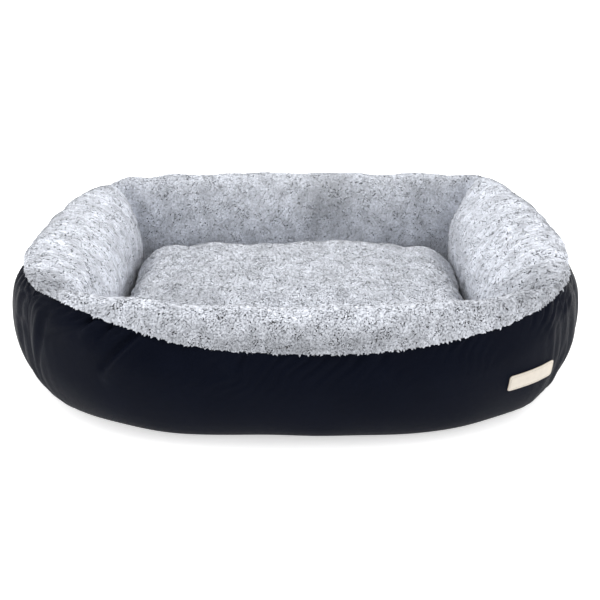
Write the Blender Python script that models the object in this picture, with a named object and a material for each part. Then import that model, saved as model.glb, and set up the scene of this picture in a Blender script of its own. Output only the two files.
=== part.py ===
"""Pet cushion bed: a padded wall of four stuffed rolls round a well, and a loose zipped cushion in it.

Frame: X runs along the long side, -Y is the low entry side, +Z is up, and the origin is on the
floor under the middle of the bed. Every wall is a loft: its section runs from the outer foot,
out over the belly and up to the crest, and down the inner face to the inner foot. The fur, the
outer shell and the fill of a wall are layers of that one section, at named depths below it.
"""

import math

import bmesh
import bpy
import numpy as np
from mathutils import Matrix

# Driving dimensions, in metres
BED_LENGTH = 0.90  # X, over the bellies of the side walls
BED_DEPTH = 0.66  # Y, over the bellies of the front and back walls
SIDE_WALL = 0.155  # thickness of the left and right walls at their middle
END_WALL = 0.115  # thickness of the front and back walls at their middle
BACK_HEIGHT = 0.210
BACK_CORNER_HEIGHT = 0.218
FRONT_HEIGHT = 0.205
BELLY_HEIGHT = 0.092  # height of the widest part of every wall
OUTER_FOOT = 0.050  # how far the shell tucks under the wall
INNER_FOOT = 0.028  # how far the fur tucks back below the inner belly
CREST_PLACE = 0.39  # across the wall, from 0 at the outer face to 1 at the inner face
OUTLINE_POWER = 2.65  # squareness of the bed's superellipse outline
CORNER_SEAM = 0.87  # corner seams, as a share of half the bed's length
SEAM_FRONT = 0.343  # where fur meets shell along the section: middle of the front
SEAM_CORNER = 0.42  # the same at the corners, the sides and the back
SEAM_LEFT = 0.075  # how much higher the shell climbs on the front's left half
SEAM_LEFT_DROP = 0.6  # share of that climb lost again at the corner seam

# Cloth and padding
GAP = 0.0003  # between pieces that touch
MITRE = 0.0025  # share of a wall's length left free at each corner seam
PILE = 0.0075  # fur cloth with its pile
FILL_CLEAR = 0.0006  # cloth of a wall to the fill inside it
SHELL_CLOTH = 0.0012
SHELL_DIP = 0.0065  # how far the shell is drawn in at the fur seam
SHELL_DIP_REACH = 0.09  # how far down the section that dip fades out
BASE_CLOTH = 0.0012
WADDING = 0.010
LINING_CLOTH = 0.0010
FLOOR_CLEAR = 0.0012  # well floor's edge to the fill of the walls

# Cushion
CUSHION_POWER = 7.0
SIDE_CLEAR = 0.008  # cushion to side and front walls
REAR_CLEAR = 0.014  # cushion to back wall, with room for the zip
CUSHION_THICKNESS = 0.112
SEAM_RISE = 0.030  # the cushion's edge seam above its underside
CROWN_POWER = 3.2
SIDE_CROWN = 4.0  # how much squarer the crown is at the cushion's left and right ends
SIDE_START = 0.70  # where that starts, as a share of half its length
SIDE_REACH = 0.25
COVER_CLOTH = 0.0012
CASE_CLOTH = 0.0008

# Zip on the cushion's rear edge
ZIP_LENGTH = 0.36
TAPE_CLOTH = 0.0008
TAPE_UPPER_REACH = 0.0125
TAPE_LOWER_REACH = 0.0085
COIL_WIDTH = 0.0022
COIL_DEPTH = 0.0022
SLIDER_LENGTH = 0.011
SLIDER_HEIGHT = 0.0100
SLIDER_PLATE = 0.0011
SLIDER_DIVIDER = 0.0006
SLIDER_CLEAR = 0.0004  # slider to coils and cushion
TAPE_MARGIN = 0.0012  # tape that stays parallel to the chain beyond the slider's edge
STOP_LENGTH = 0.0030
BAIL_LENGTH = 0.0068
BAIL_WIDTH = 0.0020
BAIL_BAR = 0.0011
PULL_LENGTH = 0.0140
PULL_THICKNESS = 0.0012
PULL_SIDE = 0.0013  # metal beside and round the pull's window
PULL_CLEAR = 0.00045  # pull to bail and slider
PULL_PLAY = 0.0009  # bail's leg inside the pull's window

# Sewn-on patch
PATCH_LENGTH = 0.085
PATCH_HEIGHT = 0.024
PATCH_ALONG = 0.84  # its middle along the front wall, from 0 at the middle to 1 at the corner seam
PATCH_UP = 0.236  # its middle up the section
PATCH_THICKNESS = 0.0014
PATCH_MARGIN = 0.0029  # stitching inside the patch's edge
THREAD_RADIUS = 0.0003

# Fineness of the lofts
WALL_STEPS = 17
SHELL_STEPS = 7
FUR_STEPS = 11
CUSHION_SIDE_STEPS = 11
CROWN_RINGS = (0.22, 0.45, 0.65, 0.80, 0.90, 0.96, 0.99, 1.0)
BELOW_RINGS = (1.0, 0.97, 0.90, 0.80)

HALF_LENGTH, HALF_DEPTH = BED_LENGTH / 2, BED_DEPTH / 2
WELL_X, WELL_Y = HALF_LENGTH - SIDE_WALL, HALF_DEPTH - END_WALL
FLOOR_TOP = BASE_CLOTH + GAP + WADDING + GAP + LINING_CLOTH
CUSHION_X = WELL_X - SIDE_CLEAR
CUSHION_REAR, CUSHION_FRONT = WELL_Y - REAR_CLEAR, SIDE_CLEAR - WELL_Y
CUSHION_Y = (CUSHION_REAR - CUSHION_FRONT) / 2
CUSHION_MIDDLE = (CUSHION_REAR + CUSHION_FRONT) / 2
CUSHION_BASE = FLOOR_TOP + GAP
CUSHION_SEAM = CUSHION_BASE + SEAM_RISE
CROWN_RISE = CUSHION_THICKNESS - SEAM_RISE
COIL_CLEAR = SLIDER_DIVIDER / 2 + GAP  # chain centre to coil
SLIDER_SLOT = COIL_DEPTH + 2 * SLIDER_CLEAR
TAPE_FLAT = SLIDER_HEIGHT / 2 + TAPE_MARGIN
ZIP_Y = CUSHION_REAR + SLIDER_SLOT / 2 + SLIDER_PLATE + SLIDER_CLEAR
BAIL_OPENING = PULL_THICKNESS + 2 * PULL_CLEAR
PULL_WINDOW = BAIL_LENGTH / 2 + PULL_CLEAR
PULL_HEIGHT = BAIL_WIDTH + 2 * (PULL_PLAY + PULL_SIDE)

COLOURS = {
    "fur": ((0.62, 0.66, 0.72), 0.95, 0.0),
    "shell_nylon": ((0.010, 0.013, 0.022), 0.50, 0.0),
    "base_canvas": ((0.020, 0.021, 0.024), 0.85, 0.0),
    "lining": ((0.12, 0.13, 0.15), 0.85, 0.0),
    "polyester_fibre": ((0.85, 0.85, 0.84), 1.0, 0.0),
    "case_cloth": ((0.80, 0.80, 0.80), 0.9, 0.0),
    "patch": ((0.55, 0.49, 0.43), 0.6, 0.0),
    "thread": ((0.42, 0.36, 0.30), 0.7, 0.0),
    "zip_tape": ((0.015, 0.017, 0.024), 0.8, 0.0),
    "zip_coil": ((0.02, 0.022, 0.028), 0.4, 0.0),
    "zip_metal": ((0.30, 0.30, 0.31), 0.3, 1.0),
}
WALLS = ("front", "back", "left", "right")


def clear_scene():
    for old in list(bpy.data.objects):
        bpy.data.objects.remove(old)


def new_collection(name):
    collection = bpy.data.collections.new(name)
    bpy.context.scene.collection.children.link(collection)
    return collection


def material(name):
    """A Principled material in the named colour."""
    found = bpy.data.materials.get(name)
    if found:
        return found
    colour, roughness, metallic = COLOURS[name]
    made = bpy.data.materials.new(name)
    made.use_nodes = True
    shader = made.node_tree.nodes["Principled BSDF"]
    shader.inputs["Base Color"].default_value = (*colour, 1)
    shader.inputs["Roughness"].default_value = roughness
    shader.inputs["Metallic"].default_value = metallic
    return made


def place(obj, finish, collection):
    """Gives the object its material and puts it in the collection."""
    obj.data.materials.append(material(finish))
    collection.objects.link(obj)
    return obj


def loft(name, rings, finish, collection):
    """A closed body through rings that have the same number of points, with a flat cap at each end."""
    rings = np.asarray(rings, float)
    count, size = rings.shape[:2]
    index = np.arange(count * size).reshape(count, size)
    after = np.roll(index, -1, axis=1)
    sides = np.stack([index[:-1], after[:-1], after[1:], index[1:]], axis=-1).reshape(-1, 4)
    faces = [*sides.tolist(), index[0][::-1].tolist(), index[-1].tolist()]
    mesh = bpy.data.meshes.new(name)
    mesh.from_pydata(rings.reshape(-1, 3).tolist(), [], faces)
    work = bmesh.new()
    work.from_mesh(mesh)
    bmesh.ops.recalc_face_normals(work, faces=work.faces)
    quads = [face for face in work.faces if len(face.verts) == 4]
    bmesh.ops.triangulate(work, faces=quads, quad_method="SHORT_EDGE")
    work.to_mesh(mesh)
    work.free()
    mesh.shade_smooth()
    mesh.set_sharp_from_angle(angle=math.radians(40))
    return place(bpy.data.objects.new(name, mesh), finish, collection)


def flat_plate(name, outlines, thickness, finish, collection):
    """A plate of this thickness whose 2D outline, with any holes, is centred on local Z."""
    curve = bpy.data.curves.new(name, "CURVE")
    curve.dimensions = "2D"
    curve.fill_mode = "BOTH"
    curve.extrude = thickness / 2
    for points in outlines:
        spline = curve.splines.new("POLY")
        spline.points.add(len(points) - 1)
        for point, (x, y) in zip(spline.points, points):
            point.co = (x, y, 0, 1)
        spline.use_cyclic_u = True
    return place(bpy.data.objects.new(name, curve), finish, collection)


# The bed's wall


def superellipse(share, power):
    """The other coordinate of a unit superellipse."""
    return (1 - np.abs(share) ** power) ** (1 / power)


def outer_line(wall, u):
    """The outline over the bellies, for u from -1 to 1 along a wall: left to right, or front to back."""
    seam_y = superellipse(CORNER_SEAM, OUTLINE_POWER)
    if wall in ("front", "back"):
        across = CORNER_SEAM * u
        side = -1 if wall == "front" else 1
        return HALF_LENGTH * across, side * HALF_DEPTH * superellipse(across, OUTLINE_POWER)
    side = -1 if wall == "left" else 1
    along = seam_y * u
    return side * HALF_LENGTH * superellipse(along, OUTLINE_POWER), HALF_DEPTH * along


def inner_line(wall, u):
    """The edge of the well at the inner bellies, which is a rectangle."""
    if wall in ("front", "back"):
        return WELL_X * u, np.full_like(u, WELL_Y * (-1 if wall == "front" else 1))
    return np.full_like(u, WELL_X * (-1 if wall == "left" else 1)), WELL_Y * u


def wall_height(wall, u):
    """Height of the crest. The back rises a little to its corners, and the sides slope down to the front."""
    if wall == "front":
        return np.full_like(u, FRONT_HEIGHT)
    if wall == "back":
        return BACK_HEIGHT + (BACK_CORNER_HEIGHT - BACK_HEIGHT) * np.abs(u) ** 3
    return FRONT_HEIGHT + (BACK_CORNER_HEIGHT - FRONT_HEIGHT) * (u + 1) / 2


def section(wall, u, place_on):
    """Across and up, for place_on from 0 to 1: four quarter ellipses from outer foot to inner foot."""
    (xo, yo), (xi, yi) = outer_line(wall, u), inner_line(wall, u)
    width = np.hypot(xi - xo, yi - yo)
    crest, height = CREST_PLACE * width, wall_height(wall, u)
    quarter = np.minimum((place_on * 4).astype(int), 3)
    turn = (place_on * 4 - quarter) * math.pi / 2
    rising, falling = np.sin(turn), np.cos(turn)
    across = np.choose(
        quarter,
        [
            OUTER_FOOT * (1 - rising),
            crest * (1 - falling),
            crest + (width - crest) * rising,
            width - INNER_FOOT * (1 - falling),
        ],
    )
    up = np.choose(
        quarter,
        [
            BELLY_HEIGHT * (1 - falling),
            BELLY_HEIGHT + (height - BELLY_HEIGHT) * rising,
            BELLY_HEIGHT + (height - BELLY_HEIGHT) * falling,
            BELLY_HEIGHT * (1 - rising),
        ],
    )
    return across, up


def wall_points(wall, u, place_on, depth):
    """Points this deep below the wall's surface, measured square to it in the plane of its section."""
    u, place_on, depth = np.broadcast_arrays(u, place_on, depth)
    step = 1e-4
    before = section(wall, u, np.clip(place_on - step, 0, 1))
    after = section(wall, u, np.clip(place_on + step, 0, 1))
    run, rise = after[0] - before[0], after[1] - before[1]
    long = np.hypot(run, rise)
    across, up = section(wall, u, place_on)
    across, up = across + depth * rise / long, up - depth * run / long
    (xo, yo), (xi, yi) = outer_line(wall, u), inner_line(wall, u)
    width = np.hypot(xi - xo, yi - yo)
    return np.stack([xo + (xi - xo) / width * across, yo + (yi - yo) / width * across, up], axis=-1)


def along_wall():
    """Places along a wall, closer together towards the corner seams."""
    return (1 - MITRE) * np.sin(np.linspace(-math.pi / 2, math.pi / 2, WALL_STEPS))[:, None]


def seam_place(wall, u):
    """Where the fur meets the shell: low at the front's middle, high at the corners and elsewhere."""
    if wall == "front":
        left = np.clip(-u, 0, 1)
        climb = SEAM_LEFT * left**2 * (1 - SEAM_LEFT_DROP * left**8)
        return SEAM_FRONT + (SEAM_CORNER - SEAM_FRONT) * np.abs(u) ** 4 + climb
    if wall == "left":
        return SEAM_CORNER + SEAM_LEFT * (1 - SEAM_LEFT_DROP) * ((1 - u) / 2) ** 6
    return np.full_like(u, SEAM_CORNER)


def inner_end(wall, u):
    """The place on the inner face where the fur reaches the well's floor."""
    turn = math.asin(1 - (FLOOR_TOP + GAP) / BELLY_HEIGHT)
    return np.full_like(u, 0.75 + 0.25 * turn / (math.pi / 2))


def shell_depth(wall, u, place_on):
    """The shell's depth below the wall's surface: drawn in at the seam, full below it."""
    near = np.clip(1 - (seam_place(wall, u) - place_on) / SHELL_DIP_REACH, 0, 1)
    return SHELL_DIP * near * near * (3 - 2 * near)


def band(wall, start, end, steps, top, bottom):
    """Rings of a thick sheet on a wall. start and end are places, and top and bottom give its depths."""
    u = along_wall()
    share = np.linspace(0, 1, steps)[None, :]
    places = start + (end - start) * share
    upper = wall_points(wall, u, places, top(u, places))
    lower = wall_points(wall, u, places, bottom(u, places))
    return np.concatenate([upper, lower[:, ::-1]], axis=1)


def build_wall(wall, collection):
    """The fur, shell and fill of one wall."""
    u = along_wall()
    seam, end, gap = seam_place(wall, u), inner_end(wall, u), 0.002
    fur = band(
        wall, seam + gap, end, FUR_STEPS, lambda v, p: 0 * p, lambda v, p: 0 * p + PILE
    )
    loft(f"fur_{wall}", fur, "fur", collection)
    shell = band(
        wall,
        0 * u,
        seam - gap,
        SHELL_STEPS,
        lambda v, p: shell_depth(wall, v, p),
        lambda v, p: shell_depth(wall, v, p) + SHELL_CLOTH,
    )
    loft(f"shell_{wall}", shell, "shell_nylon", collection)

    low = np.linspace(0, 1, SHELL_STEPS)[None, :] * (seam - gap)
    high = (seam + gap) + np.linspace(0, 1, FUR_STEPS)[None, :] * (end - seam - gap)
    outside = wall_points(wall, u, low, shell_depth(wall, u, low) + SHELL_CLOTH + FILL_CLEAR)
    inside = wall_points(wall, u, high, PILE + FILL_CLEAR)
    outside[:, :, 2] = np.maximum(outside[:, :, 2], BASE_CLOTH + FILL_CLEAR)
    foot = inside[:, -1:].copy()
    foot[:, :, 2] = BASE_CLOTH + FILL_CLEAR
    fill = np.concatenate([outside, inside, foot], axis=1)
    loft(f"fill_{wall}", fill, "polyester_fibre", collection)


def ring_of_walls(place_of):
    """One closed outline round the bed, in order, through place_of(wall, u) on each wall."""
    u = along_wall()[:, 0]
    return np.concatenate(
        [place_of("front", u), place_of("right", u), place_of("back", u)[::-1], place_of("left", u)[::-1]]
    )


def across_wall(wall, u, across):
    """Points in plan at a distance inwards from the outer line."""
    (xo, yo), (xi, yi) = outer_line(wall, u), inner_line(wall, u)
    width = np.hypot(xi - xo, yi - yo)
    return np.stack([xo + (xi - xo) / width * across, yo + (yi - yo) / width * across], axis=-1)


def floor_line(wall, u):
    """The well floor's edge in plan: it runs in under the fur as far as the fill's inner foot."""
    fill_foot = wall_points(wall, u, inner_end(wall, u), PILE + FILL_CLEAR)
    xi, yi = inner_line(wall, u)
    edge = fill_foot[:, :2]
    inwards = np.stack([xi, yi], axis=-1) - edge
    return edge + inwards * (FLOOR_CLEAR / np.linalg.norm(inwards, axis=1))[:, None]


def build_base(collection):
    """The base cloth between the shell's feet, and the wadding and lining of the well's floor."""
    base = ring_of_walls(lambda wall, u: across_wall(wall, u, OUTER_FOOT + 2 * GAP))
    floor = ring_of_walls(floor_line)
    layers = (
        ("base_panel", base, 0.0, BASE_CLOTH, "base_canvas"),
        ("base_wadding", floor, BASE_CLOTH + GAP, WADDING, "polyester_fibre"),
        ("well_floor_lining", floor, FLOOR_TOP - LINING_CLOTH, LINING_CLOTH, "lining"),
    )
    for name, outline, bottom, thickness, finish in layers:
        plate = flat_plate(name, [outline], thickness, finish, collection)
        plate.location.z = bottom + thickness / 2


def patch_reach(along, up):
    """Half the patch's size as shares of the front wall: its length along it, its height up the section."""
    step = 1e-3
    u, places = np.array([along, along - step, along]), np.array([up, up, up - step])
    here, beside, below = wall_points("front", u, places, 0.0)
    return (
        PATCH_LENGTH / 2 * step / np.linalg.norm(here - beside),
        PATCH_HEIGHT / 2 * step / np.linalg.norm(here - below),
    )


def build_patch(collection):
    """The blank patch on the front wall near the right corner seam, and its loop of stitching."""
    along, up = patch_reach(PATCH_ALONG, PATCH_UP)
    u = PATCH_ALONG + along * np.linspace(-1, 1, 9)[:, None]
    places = PATCH_UP + up * np.linspace(-1, 1, 4)[None, :]
    under = wall_points("front", u, places, -GAP)
    face = wall_points("front", u, places, -GAP - PATCH_THICKNESS)
    loft("patch", np.concatenate([face, under[:, ::-1]], axis=1), "patch", collection)

    along *= 1 - 2 * PATCH_MARGIN / PATCH_LENGTH
    up *= 1 - 2 * PATCH_MARGIN / PATCH_HEIGHT
    run, rise = np.linspace(-1, 1, 12), np.linspace(-1, 1, 5)
    loop = np.concatenate(
        [
            np.stack([run[:-1], np.full(11, -1)], axis=1),
            np.stack([np.full(4, 1), rise[:-1]], axis=1),
            np.stack([run[:0:-1], np.full(11, 1)], axis=1),
            np.stack([np.full(4, -1), rise[:0:-1]], axis=1),
        ]
    )
    lift = -(2 * GAP + PATCH_THICKNESS + THREAD_RADIUS)
    line = wall_points("front", PATCH_ALONG + along * loop[:, 0], PATCH_UP + up * loop[:, 1], lift)
    curve = bpy.data.curves.new("patch_stitching", "CURVE")
    curve.dimensions = "3D"
    curve.bevel_depth = THREAD_RADIUS
    curve.bevel_resolution = 1
    spline = curve.splines.new("POLY")
    spline.points.add(len(line) - 1)
    for point, at in zip(spline.points, line):
        point.co = (*at, 1)
    spline.use_cyclic_u = True
    place(bpy.data.objects.new("patch_stitching", curve), "thread", collection)


# The loose cushion


def cushion_ring(share, up, depth):
    """A closed ring of the cushion, shrunk to this share and inset by depth, at one height."""
    corner = 2 ** (-1 / CUSHION_POWER)
    along = corner * np.linspace(-1, 1, CUSHION_SIDE_STEPS)[:-1]
    other = superellipse(along, CUSHION_POWER)
    x = np.concatenate([along, other, -along, -other])
    y = np.concatenate([-other, along, other, -along])
    half_x, half_y = (CUSHION_X - depth) * share, (CUSHION_Y - depth) * share
    return np.stack([half_x * x, CUSHION_MIDDLE + half_y * y, up + 0 * x], axis=1)


def crown(share, depth):
    """Heights of a ring of the cushion's top at this share of its outline, fuller at both ends."""
    x = cushion_ring(share, 0.0, 0.0)[:, 0] / CUSHION_X
    t = np.clip((np.abs(x) - SIDE_START) / SIDE_REACH, 0, 1)
    power = CROWN_POWER + SIDE_CROWN * t * t * (3 - 2 * t)
    return CUSHION_SEAM + (CROWN_RISE - depth) * (1 - share**power) ** 0.5


def belly(share, depth):
    """Height of the cushion's underside, which is flat inside the last of the rings."""
    flat = BELOW_RINGS[-1]
    drop = math.sqrt(max(0.0, 1 - ((share - flat) / (1 - flat)) ** 2))
    return CUSHION_SEAM - (SEAM_RISE - depth) * drop


def dome(depth, rise):
    """Rings of the top of the cushion, from its middle out to its edge."""
    return [cushion_ring(s, np.maximum(crown(s, depth), CUSHION_SEAM + rise), depth) for s in CROWN_RINGS]


def dish(depth, drop):
    """Rings of the underside of the cushion, from its edge in to its flat middle."""
    return [cushion_ring(s, min(belly(s, depth), CUSHION_SEAM - drop), depth) for s in BELOW_RINGS]


def build_cushion(collection):
    """Cover, inner case and fill of the cushion, as layers at growing depths."""
    half_gap = GAP / 2
    case = PILE + GAP
    fill = case + CASE_CLOTH + GAP
    loft("cushion_top_cover", dome(0, half_gap) + dome(PILE, half_gap)[::-1], "fur", collection)
    under = COVER_CLOTH
    loft(
        "cushion_bottom_cover",
        dish(0, half_gap)[::-1] + dish(under, half_gap),
        "shell_nylon",
        collection,
    )
    top_case = dome(case, half_gap) + dome(case + CASE_CLOTH, half_gap)[::-1]
    loft("cushion_case_top", top_case, "case_cloth", collection)
    low = under + GAP
    bottom_case = dish(low, half_gap)[::-1] + dish(low + CASE_CLOTH, half_gap)
    loft("cushion_case_bottom", bottom_case, "case_cloth", collection)
    whole = dome(fill, half_gap) + dish(fill, half_gap)
    loft("cushion_fill", whole, "polyester_fibre", collection)


# The zip


def run_along_x(name, profile, length, middle, finish, collection):
    """A bar along X whose profile is given in Y and Z."""
    bar = flat_plate(name, [profile], length, finish, collection)
    bar.matrix_world = Matrix.Translation((middle, 0, 0)) @ Matrix(
        ((0, 0, 1, 0), (1, 0, 0, 0), (0, 1, 0, 0), (0, 0, 0, 1))
    )
    return bar


def box_profile(y_from, y_to, z_from, z_to):
    return [(y_from, z_from), (y_to, z_from), (y_to, z_to), (y_from, z_to)]


def cover_edge(rise):
    """How far back the cushion's surface is, this far above its seam or below it."""
    if rise > 0:
        share = (1 - (rise / CROWN_RISE) ** 2) ** (1 / CROWN_POWER)
    else:
        flat = BELOW_RINGS[-1]
        share = flat + (1 - flat) * math.sqrt(1 - (rise / SEAM_RISE) ** 2)
    return CUSHION_MIDDLE + CUSHION_Y * share


def tape_profile(side, reach):
    """A tape beside the chain that bends in to the cushion's cover. side is 1 above and -1 below."""
    start = COIL_CLEAR + COIL_WIDTH + GAP
    edge = cover_edge(side * reach) + 2 * GAP
    near, far = ZIP_Y - TAPE_CLOTH / 2, ZIP_Y + TAPE_CLOTH / 2
    outer = [(near, start), (far, start), (far, TAPE_FLAT), (edge + TAPE_CLOTH, reach)]
    points = [*outer, (edge, reach), (near, TAPE_FLAT)]
    return [(y, CUSHION_SEAM + side * z) for y, z in points]


def bail_outline():
    """The bail's arch over the slider, in X and Y, from the slider's face outwards."""
    half, top = BAIL_LENGTH / 2, BAIL_OPENING + BAIL_BAR
    root = -SLIDER_PLATE / 2
    return [
        (-half, root), (-half, top), (half, top), (half, root),
        (half - BAIL_BAR, root), (half - BAIL_BAR, BAIL_OPENING),
        (BAIL_BAR - half, BAIL_OPENING), (BAIL_BAR - half, root),
    ]  # fmt: skip


def as_mesh(obj):
    """A mesh object in place of a curve object, with its caps welded."""
    graph = bpy.context.evaluated_depsgraph_get()
    mesh = bpy.data.meshes.new_from_object(obj.evaluated_get(graph))
    work = bmesh.new()
    work.from_mesh(mesh)
    bmesh.ops.remove_doubles(work, verts=work.verts, dist=1e-6)
    bmesh.ops.recalc_face_normals(work, faces=work.faces)
    work.to_mesh(mesh)
    work.free()
    name, matrix, collections = obj.name, obj.matrix_world.copy(), list(obj.users_collection)
    bpy.data.objects.remove(obj)
    made = bpy.data.objects.new(name, mesh)
    made.matrix_world = matrix
    for collection in collections:
        collection.objects.link(made)
    return made


def build_zip(collection, helpers):
    """Tapes, coils and stops, and the slider and pull at the closed end of the chain."""
    for side, word, reach in ((1, "upper", TAPE_UPPER_REACH), (-1, "lower", TAPE_LOWER_REACH)):
        run_along_x(f"zip_tape_{word}", tape_profile(side, reach), ZIP_LENGTH, 0, "zip_tape", collection)
        ends = sorted(CUSHION_SEAM + side * z for z in (COIL_CLEAR, COIL_CLEAR + COIL_WIDTH))
        coil = box_profile(ZIP_Y - COIL_DEPTH / 2, ZIP_Y + COIL_DEPTH / 2, *ends)
        run_along_x(f"zip_coil_{word}", coil, ZIP_LENGTH, 0, "zip_coil", collection)
    reach = COIL_CLEAR + COIL_WIDTH
    stop = box_profile(
        ZIP_Y - COIL_DEPTH / 2, ZIP_Y + COIL_DEPTH / 2, CUSHION_SEAM - reach, CUSHION_SEAM + reach
    )
    for side, word in ((-1, "left"), (1, "right")):
        middle = side * (ZIP_LENGTH / 2 + GAP + STOP_LENGTH / 2)
        run_along_x(f"zip_stop_{word}", stop, STOP_LENGTH, middle, "zip_metal", collection)

    slot, face = SLIDER_SLOT / 2, SLIDER_SLOT / 2 + SLIDER_PLATE
    web, half = SLIDER_DIVIDER / 2, SLIDER_HEIGHT / 2
    body = [
        (-face, -half), (-slot, -half), (-slot, -web), (slot, -web), (slot, -half), (face, -half),
        (face, half), (slot, half), (slot, web), (-slot, web), (-slot, half), (-face, half),
    ]  # fmt: skip
    closed = ZIP_LENGTH / 2 - SLIDER_LENGTH / 2 - GAP
    profile = [(ZIP_Y + y, CUSHION_SEAM + z) for y, z in body]
    slider = as_mesh(run_along_x("zip_slider", profile, SLIDER_LENGTH, closed, "zip_metal", collection))
    bail = as_mesh(flat_plate("slider_bail", [bail_outline()], BAIL_WIDTH, "zip_metal", helpers))
    bail.location = (closed, ZIP_Y + face, CUSHION_SEAM)
    bail.hide_render = True
    bail.display_type = "WIRE"
    union = slider.modifiers.new("bail", "BOOLEAN")
    union.operation = "UNION"
    union.object = bail

    half = PULL_HEIGHT / 2
    bar = PULL_THICKNESS / 2
    outer = [(-bar, -half), (PULL_LENGTH - half / 2, -half), (PULL_LENGTH, -half / 2),
             (PULL_LENGTH, half / 2), (PULL_LENGTH - half / 2, half), (-bar, half)]  # fmt: skip
    inside = half - PULL_SIDE
    window = [(bar, -inside), (bar, inside), (PULL_WINDOW + bar, inside), (PULL_WINDOW + bar, -inside)]
    pull = flat_plate("zip_pull", [outer, window], PULL_THICKNESS, "zip_metal", collection)
    pivot = (closed, ZIP_Y + face + BAIL_OPENING / 2, CUSHION_SEAM)
    pull.matrix_world = Matrix.Translation(pivot) @ Matrix.Rotation(math.pi / 2, 4, "X")


def main():
    clear_scene()
    bed = new_collection("pet_cushion_bed")
    helpers = new_collection("helpers")
    for wall in WALLS:
        build_wall(wall, bed)
    build_base(bed)
    build_patch(bed)
    build_cushion(bed)
    build_zip(bed, helpers)


main()
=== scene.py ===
"""Looks of the walled pet bed: plush, nylon shell, blank patch, loose cushion and its zip.

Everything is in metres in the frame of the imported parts: X along the long side, -Y the low front,
+Z up, the floor at 0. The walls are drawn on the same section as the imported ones: four quarter
ellipses from the outer foot, out over the belly, up to the crest and down to the inner foot.
"""

import logging
import math
from collections.abc import Sequence
from dataclasses import dataclass, field
from enum import Enum
from typing import ClassVar

import bmesh
import bpy
import numpy as np
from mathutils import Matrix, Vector
from numpy.typing import NDArray


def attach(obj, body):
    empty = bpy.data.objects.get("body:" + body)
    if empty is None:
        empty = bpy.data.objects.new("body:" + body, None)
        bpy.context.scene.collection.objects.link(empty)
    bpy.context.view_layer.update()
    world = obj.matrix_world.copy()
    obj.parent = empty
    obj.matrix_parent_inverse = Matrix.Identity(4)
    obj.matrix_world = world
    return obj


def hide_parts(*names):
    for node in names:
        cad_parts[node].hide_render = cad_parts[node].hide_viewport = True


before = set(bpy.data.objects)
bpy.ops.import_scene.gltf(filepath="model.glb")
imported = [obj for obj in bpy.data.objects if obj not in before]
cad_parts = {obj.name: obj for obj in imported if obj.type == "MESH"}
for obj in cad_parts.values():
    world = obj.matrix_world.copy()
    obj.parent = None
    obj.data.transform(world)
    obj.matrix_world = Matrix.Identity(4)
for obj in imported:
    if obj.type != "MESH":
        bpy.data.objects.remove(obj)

Array = NDArray[np.float64]
Triangles = NDArray[np.int64]
Material = bpy.types.Material
Socket = bpy.types.NodeSocket
Colour = tuple[float, float, float]
LOG = logging.getLogger("pet_cushion_bed")
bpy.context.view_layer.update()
TINY = 1e-9
SHARP_CLOTH = math.radians(70)
SHARP_METAL = math.radians(35)
WAVES_PER_METRE = 0.31416  # a Wave Texture of scale 1 repeats this often along a metre


class Wall(Enum):
    """The four stuffed walls, by the side of the bed they stand on."""

    FRONT = "front"
    BACK = "back"
    LEFT = "left"
    RIGHT = "right"

    @property
    def is_side(self) -> bool:
        """True for the two walls that run from front to back."""
        return self in (Wall.LEFT, Wall.RIGHT)

    @property
    def sign(self) -> int:
        """-1 for the front and the left wall, 1 for the back and the right one."""
        return -1 if self in (Wall.FRONT, Wall.LEFT) else 1


class Layer(Enum):
    """Which cloth of a wall a surface belongs to, since each creases in its own way."""

    PLUSH = "plush"
    SHELL = "shell"
    FILL = "fill"


# Small tools for arrays


def smoothstep(value: Array) -> Array:
    """Rises from 0 to 1 with level ends, as 3t^2 - 2t^3 of the clipped value."""
    t = np.clip(value, 0.0, 1.0)
    return t * t * (3 - 2 * t)


def bump_at(value: Array, centre: float, width: float) -> Array:
    """A bell of height 1 at the centre, exp(-(distance / width)^2)."""
    return np.exp(-(((value - centre) / width) ** 2))


def unit(vectors: Array) -> Array:
    """The vectors at length 1."""
    return vectors / np.maximum(np.linalg.norm(vectors, axis=-1, keepdims=True), TINY)


class Ripple:
    """Smooth seeded noise in space: a sum of sine waves in random directions."""

    WAVES = 20

    def __init__(self, wavelength: float, seed: int) -> None:
        """Draws the waves.

        Args:
            wavelength: the middle of the waves' lengths, in metres.
            seed: makes the same noise each run.
        """
        draw = np.random.default_rng(seed)
        directions = unit(draw.normal(size=(self.WAVES, 3)))
        lengths = wavelength * draw.uniform(0.65, 1.6, self.WAVES)
        self.vectors = directions * (2 * math.pi / lengths)[:, None]
        self.phases = draw.uniform(0, 2 * math.pi, self.WAVES)
        self.share = math.sqrt(2 / self.WAVES)

    def __call__(self, points: Array) -> Array:
        """The noise at points (..., 3), with a spread of about 1."""
        return self.share * np.sin(points @ self.vectors.T + self.phases).sum(axis=-1)


def lattice_draws(cells: NDArray[np.int64], seed: int, count: int) -> Array:
    """Random numbers from 0 to 1 that belong to whole-number cells.

    Args:
        cells: (..., 3) cell numbers.
        seed: makes the same draws each run.
        count: numbers per cell.

    Returns:
        (..., count) numbers, from an integer hash of the cell.
    """
    mixed = (cells * np.array([73856093, 19349663, 83492791])).sum(axis=-1) + seed * 2654435761
    draws = []
    for number in range(count):
        value = (mixed + number * 40503) & 0xFFFFFFFF
        value = ((value ^ (value >> 16)) * 0x45D9F3B) & 0xFFFFFFFF
        value = ((value ^ (value >> 16)) * 0x45D9F3B) & 0xFFFFFFFF
        draws.append(((value ^ (value >> 16)) & 0xFFFFFF) / 0xFFFFFF)
    return np.stack(draws, axis=-1)


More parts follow.
